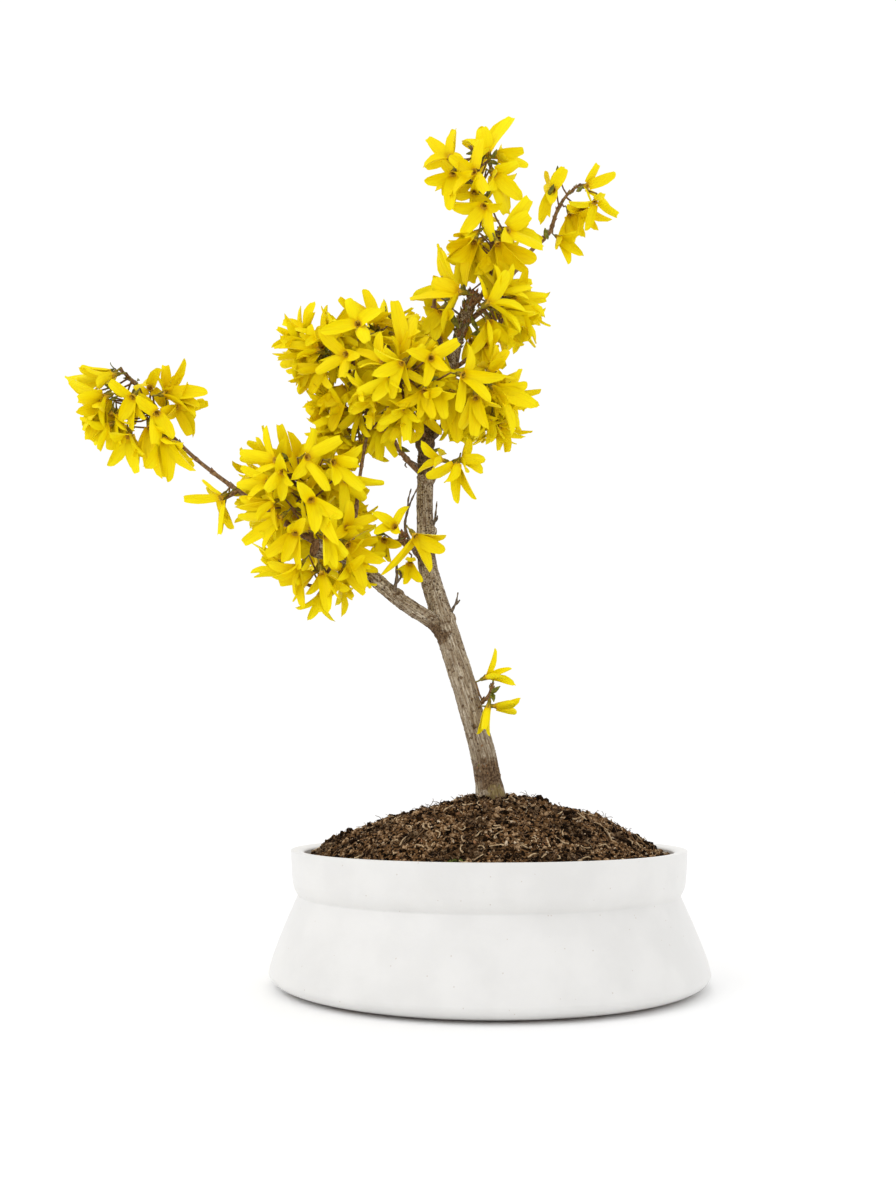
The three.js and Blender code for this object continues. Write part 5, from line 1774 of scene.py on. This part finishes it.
def calyx_mesh(name, spreading):
    """Four pointed sepals round the foot of the tube, each a closed thin blade"""
    bodies = []
    for sepal in range(PETALS):
        angle = math.pi / 4 + sepal * math.pi / 2
        out, across = spun(angle), spun(angle, (0, 1, 0), (-1, 0, 0))
        rows = [(0.2, -0.5, 0.5), (0.95, 0.6, 0.8), (1.25, 2.4, 0.85), (1.3 + spreading, 4.2, 0.45),
                (1.3 + spreading * 2, 5.4, 0.06)]
        bodies.append(blade_body([
            [out * (radius + thick - 0.25 * abs(side)) + across * half * side + [0, 0, height]
             for thick in (0, 0.3) for side in (-1, 0, 1)]
            for radius, height, half in rows]))
    return new_mesh(name, *join_bodies(bodies))


def leaf_bud_mesh():
    """A young leaf, still folded: a pointed blade with a keel"""
    rows = [(0, 0.25, 0), (1.6, 1.0, 0.25), (3.6, 1.35, 0.5), (5.6, 0.95, 0.3), (LEAF_LENGTH, 0.08, -0.3)]
    return new_mesh("leaf", *blade_body([
        [(along, half * side, lift + 0.7 * abs(side) * half * 0.6 - thick)
         for thick in (0, 0.25) for side in (-1, 0, 1)]
        for along, half, lift in rows]))


def petal_points(flowers, draw, tones):
    points = []
    for flower in flowers:
        tone, facing = int(draw() * tones), flower["facing"]
        for out, lean, long in flower["petals"]:
            form = int(draw() * len(PETAL_FORMS))
            angle = lean - PETAL_FORMS[form][0] / 2
            along, inner = spun(angle, facing, out), spun(angle, -out, facing)
            size = np.array([long, flower["size"] * between(draw, 0.92, 1.08), max(flower["size"], 1)])
            points.append(new_point(flower["throat"] + out * TUBE_RADIUS,
                                    [along, np.cross(inner, along), inner], size, form, tone))
    return points


def cup_points(flowers, forms):
    points = []
    for count, flower in enumerate(flowers):
        facing, width = flower["facing"], np.clip(flower["size"], 0.8, 1)
        points.append(new_point(flower["throat"] - facing * TUBE_LENGTH, [*flower_axes(facing), facing],
                                np.array([width, width, 1]), count % forms))
    return points


# Young leaves that show at the front: foot and tip in the picture, and depth
FRONT_LEAVES = [
    ((464, 296), (463, 279), -6), ((459, 329), (450, 310), -12), ((484, 320), (493, 310), -10),
    ((478, 330), (471, 316), -12), ((488, 196), (490, 183), -14), ((466, 154), (478, 149), -12),
    ((492, 158), (497, 149), -10), ((548, 196), (554, 184), 14), ((545, 228), (548, 240), 14),
    ((583, 186), (576, 192), 14), ((150, 432), (146, 444), -34), ((118, 396), (109, 400), -34),
    ((226, 496), (222, 506), -28), ((374, 412), (384, 418), -24), ((430, 452), (440, 448), -14),
    ((400, 446), (410, 452), -12),
]


def leaf_points(sprays, draw):
    """Folded young leaves at the front and at some of the nodes"""
    points = []
    for foot, tip, depth in FRONT_LEAVES:
        start = seen_at(*foot, depth)
        along = seen_at(*tip, depth - 2) - start
        size = np.linalg.norm(along) / LEAF_LENGTH
        across = unit(np.cross(along, [0.2, -1, 0.3]))
        points.append(new_point(start, [unit(along), across, np.cross(unit(along), across)],
                                np.array([size, 0.75 * size + 0.3, 1])))
    for spray in sprays:
        if draw() > 0.3:
            continue
        outward = spray["outward"]
        for _ in range(2):
            side = unit(np.cross(outward, [0.3, 0.5, 0.8]))
            out = turned_about(side, outward, between(draw, 0, 2 * math.pi))
            along = unit(outward * 0.8 + out * 0.7)
            across = unit(np.cross(outward, out))
            points.append(new_point(spray["node"], [along, across, np.cross(along, across)],
                                    between(draw, 0.7, 1.2)))
    return points


def make_blossom(sprays):
    flowers = [flower for spray in sprays for flower in spray["flowers"]]
    draw = seeded_numbers(71)
    yellows = [petal_finish(name) for name in PETAL_TONES]
    petals = [petal_mesh(f"petal_{count}", *form) for count, form in enumerate(PETAL_FORMS)]
    form_piece("blossom_petals", petal_points(flowers, draw, len(yellows)), petals, yellows, "blossom",
               *[name + "_blossom" for name in MASSES])
    sepals = [calyx_mesh(f"calyx_{count}", spreading) for count, spreading in enumerate(SEPALS_SPREAD)]
    for name, forms, finish in [
        ("blossom_cups", [new_mesh("cup", *turned_body(CUP_OUTLINE, 8))], "flower_throat"),
        ("blossom_hearts", [heart_mesh()], "flower_anther"),
        ("blossom_sepals", sepals, "sepal_olive"),
    ]:
        form_piece(name, cup_points(flowers, len(forms)), forms, [small_finish(finish)], "blossom")
    leaf = small_finish("young_leaf_green")
    form_piece("young_leaves", leaf_points(sprays, draw), [leaf_bud_mesh()], [leaf], "blossom")
    lines = [
        straight_line(spray["node"], flower["throat"] - flower["facing"] * (TUBE_LENGTH - 0.3),
                      (0.42, 0.6), 0.3)
        for spray in sprays for flower in spray["flowers"]]
    tube_piece("blossom_stalks", lines, 5, small_finish("stalk_olive"), "blossom")


# Stage
def make_stage():
    """A plain pale floor, a pale surround, soft lights, and the camera where the photograph was taken"""
    finish = Finish("pale_floor", 0.9, Specular_IOR_Level=0.1, Base_Color=(0.99, 0.99, 0.99, 1))
    corners = [(-FLOOR, -FLOOR, 0), (FLOOR, -FLOOR, 0), (FLOOR, FLOOR, 0), (-FLOOR, FLOOR, 0)]
    mesh = new_mesh("floor", corners, [(0, 1, 2, 3)], [finish.material], smooth=False)
    floor = new_object("floor", mesh)
    world = bpy.data.worlds.new("pale_surround")
    world.use_nodes = True
    surround = world.node_tree.nodes["Background"].inputs
    surround["Color"].default_value, surround["Strength"].default_value = (1, 1, 1, 1), 1.03
    scene = bpy.context.scene
    scene.world = world
    for name, place, size, power in LIGHTS:
        light = bpy.data.lights.new(name, "AREA")
        light.size, light.energy = size * MM, power
        lamp = new_object(name, light)
        lamp.location = Vector(place) * MM
        lamp.rotation_euler = (Vector(LIT_PLACE) - Vector(place)).to_track_quat("-Z", "Y").to_euler()
    scene.view_settings.view_transform = "Standard"
    lens = bpy.data.cameras.new("camera")
    lens.lens, lens.sensor_width = CAMERA_LENS, CAMERA_SENSOR
    scene.camera = new_object("camera", lens)
    scene.camera.location = Vector(CAMERA_PLACE) * MM
    scene.camera.rotation_euler = (math.radians(90 + CAMERA_TILT), 0, 0)


def build():
    sprays = grow_crown()
    make_pot(glaze_finish())
    make_soil()
    make_old_wood(old_bark_finish(), small_finish("cork_pore"))
    make_cut_faces()
    make_spurs()
    make_shoots(sprays)
    make_blossom(sprays)


build()
make_stage()
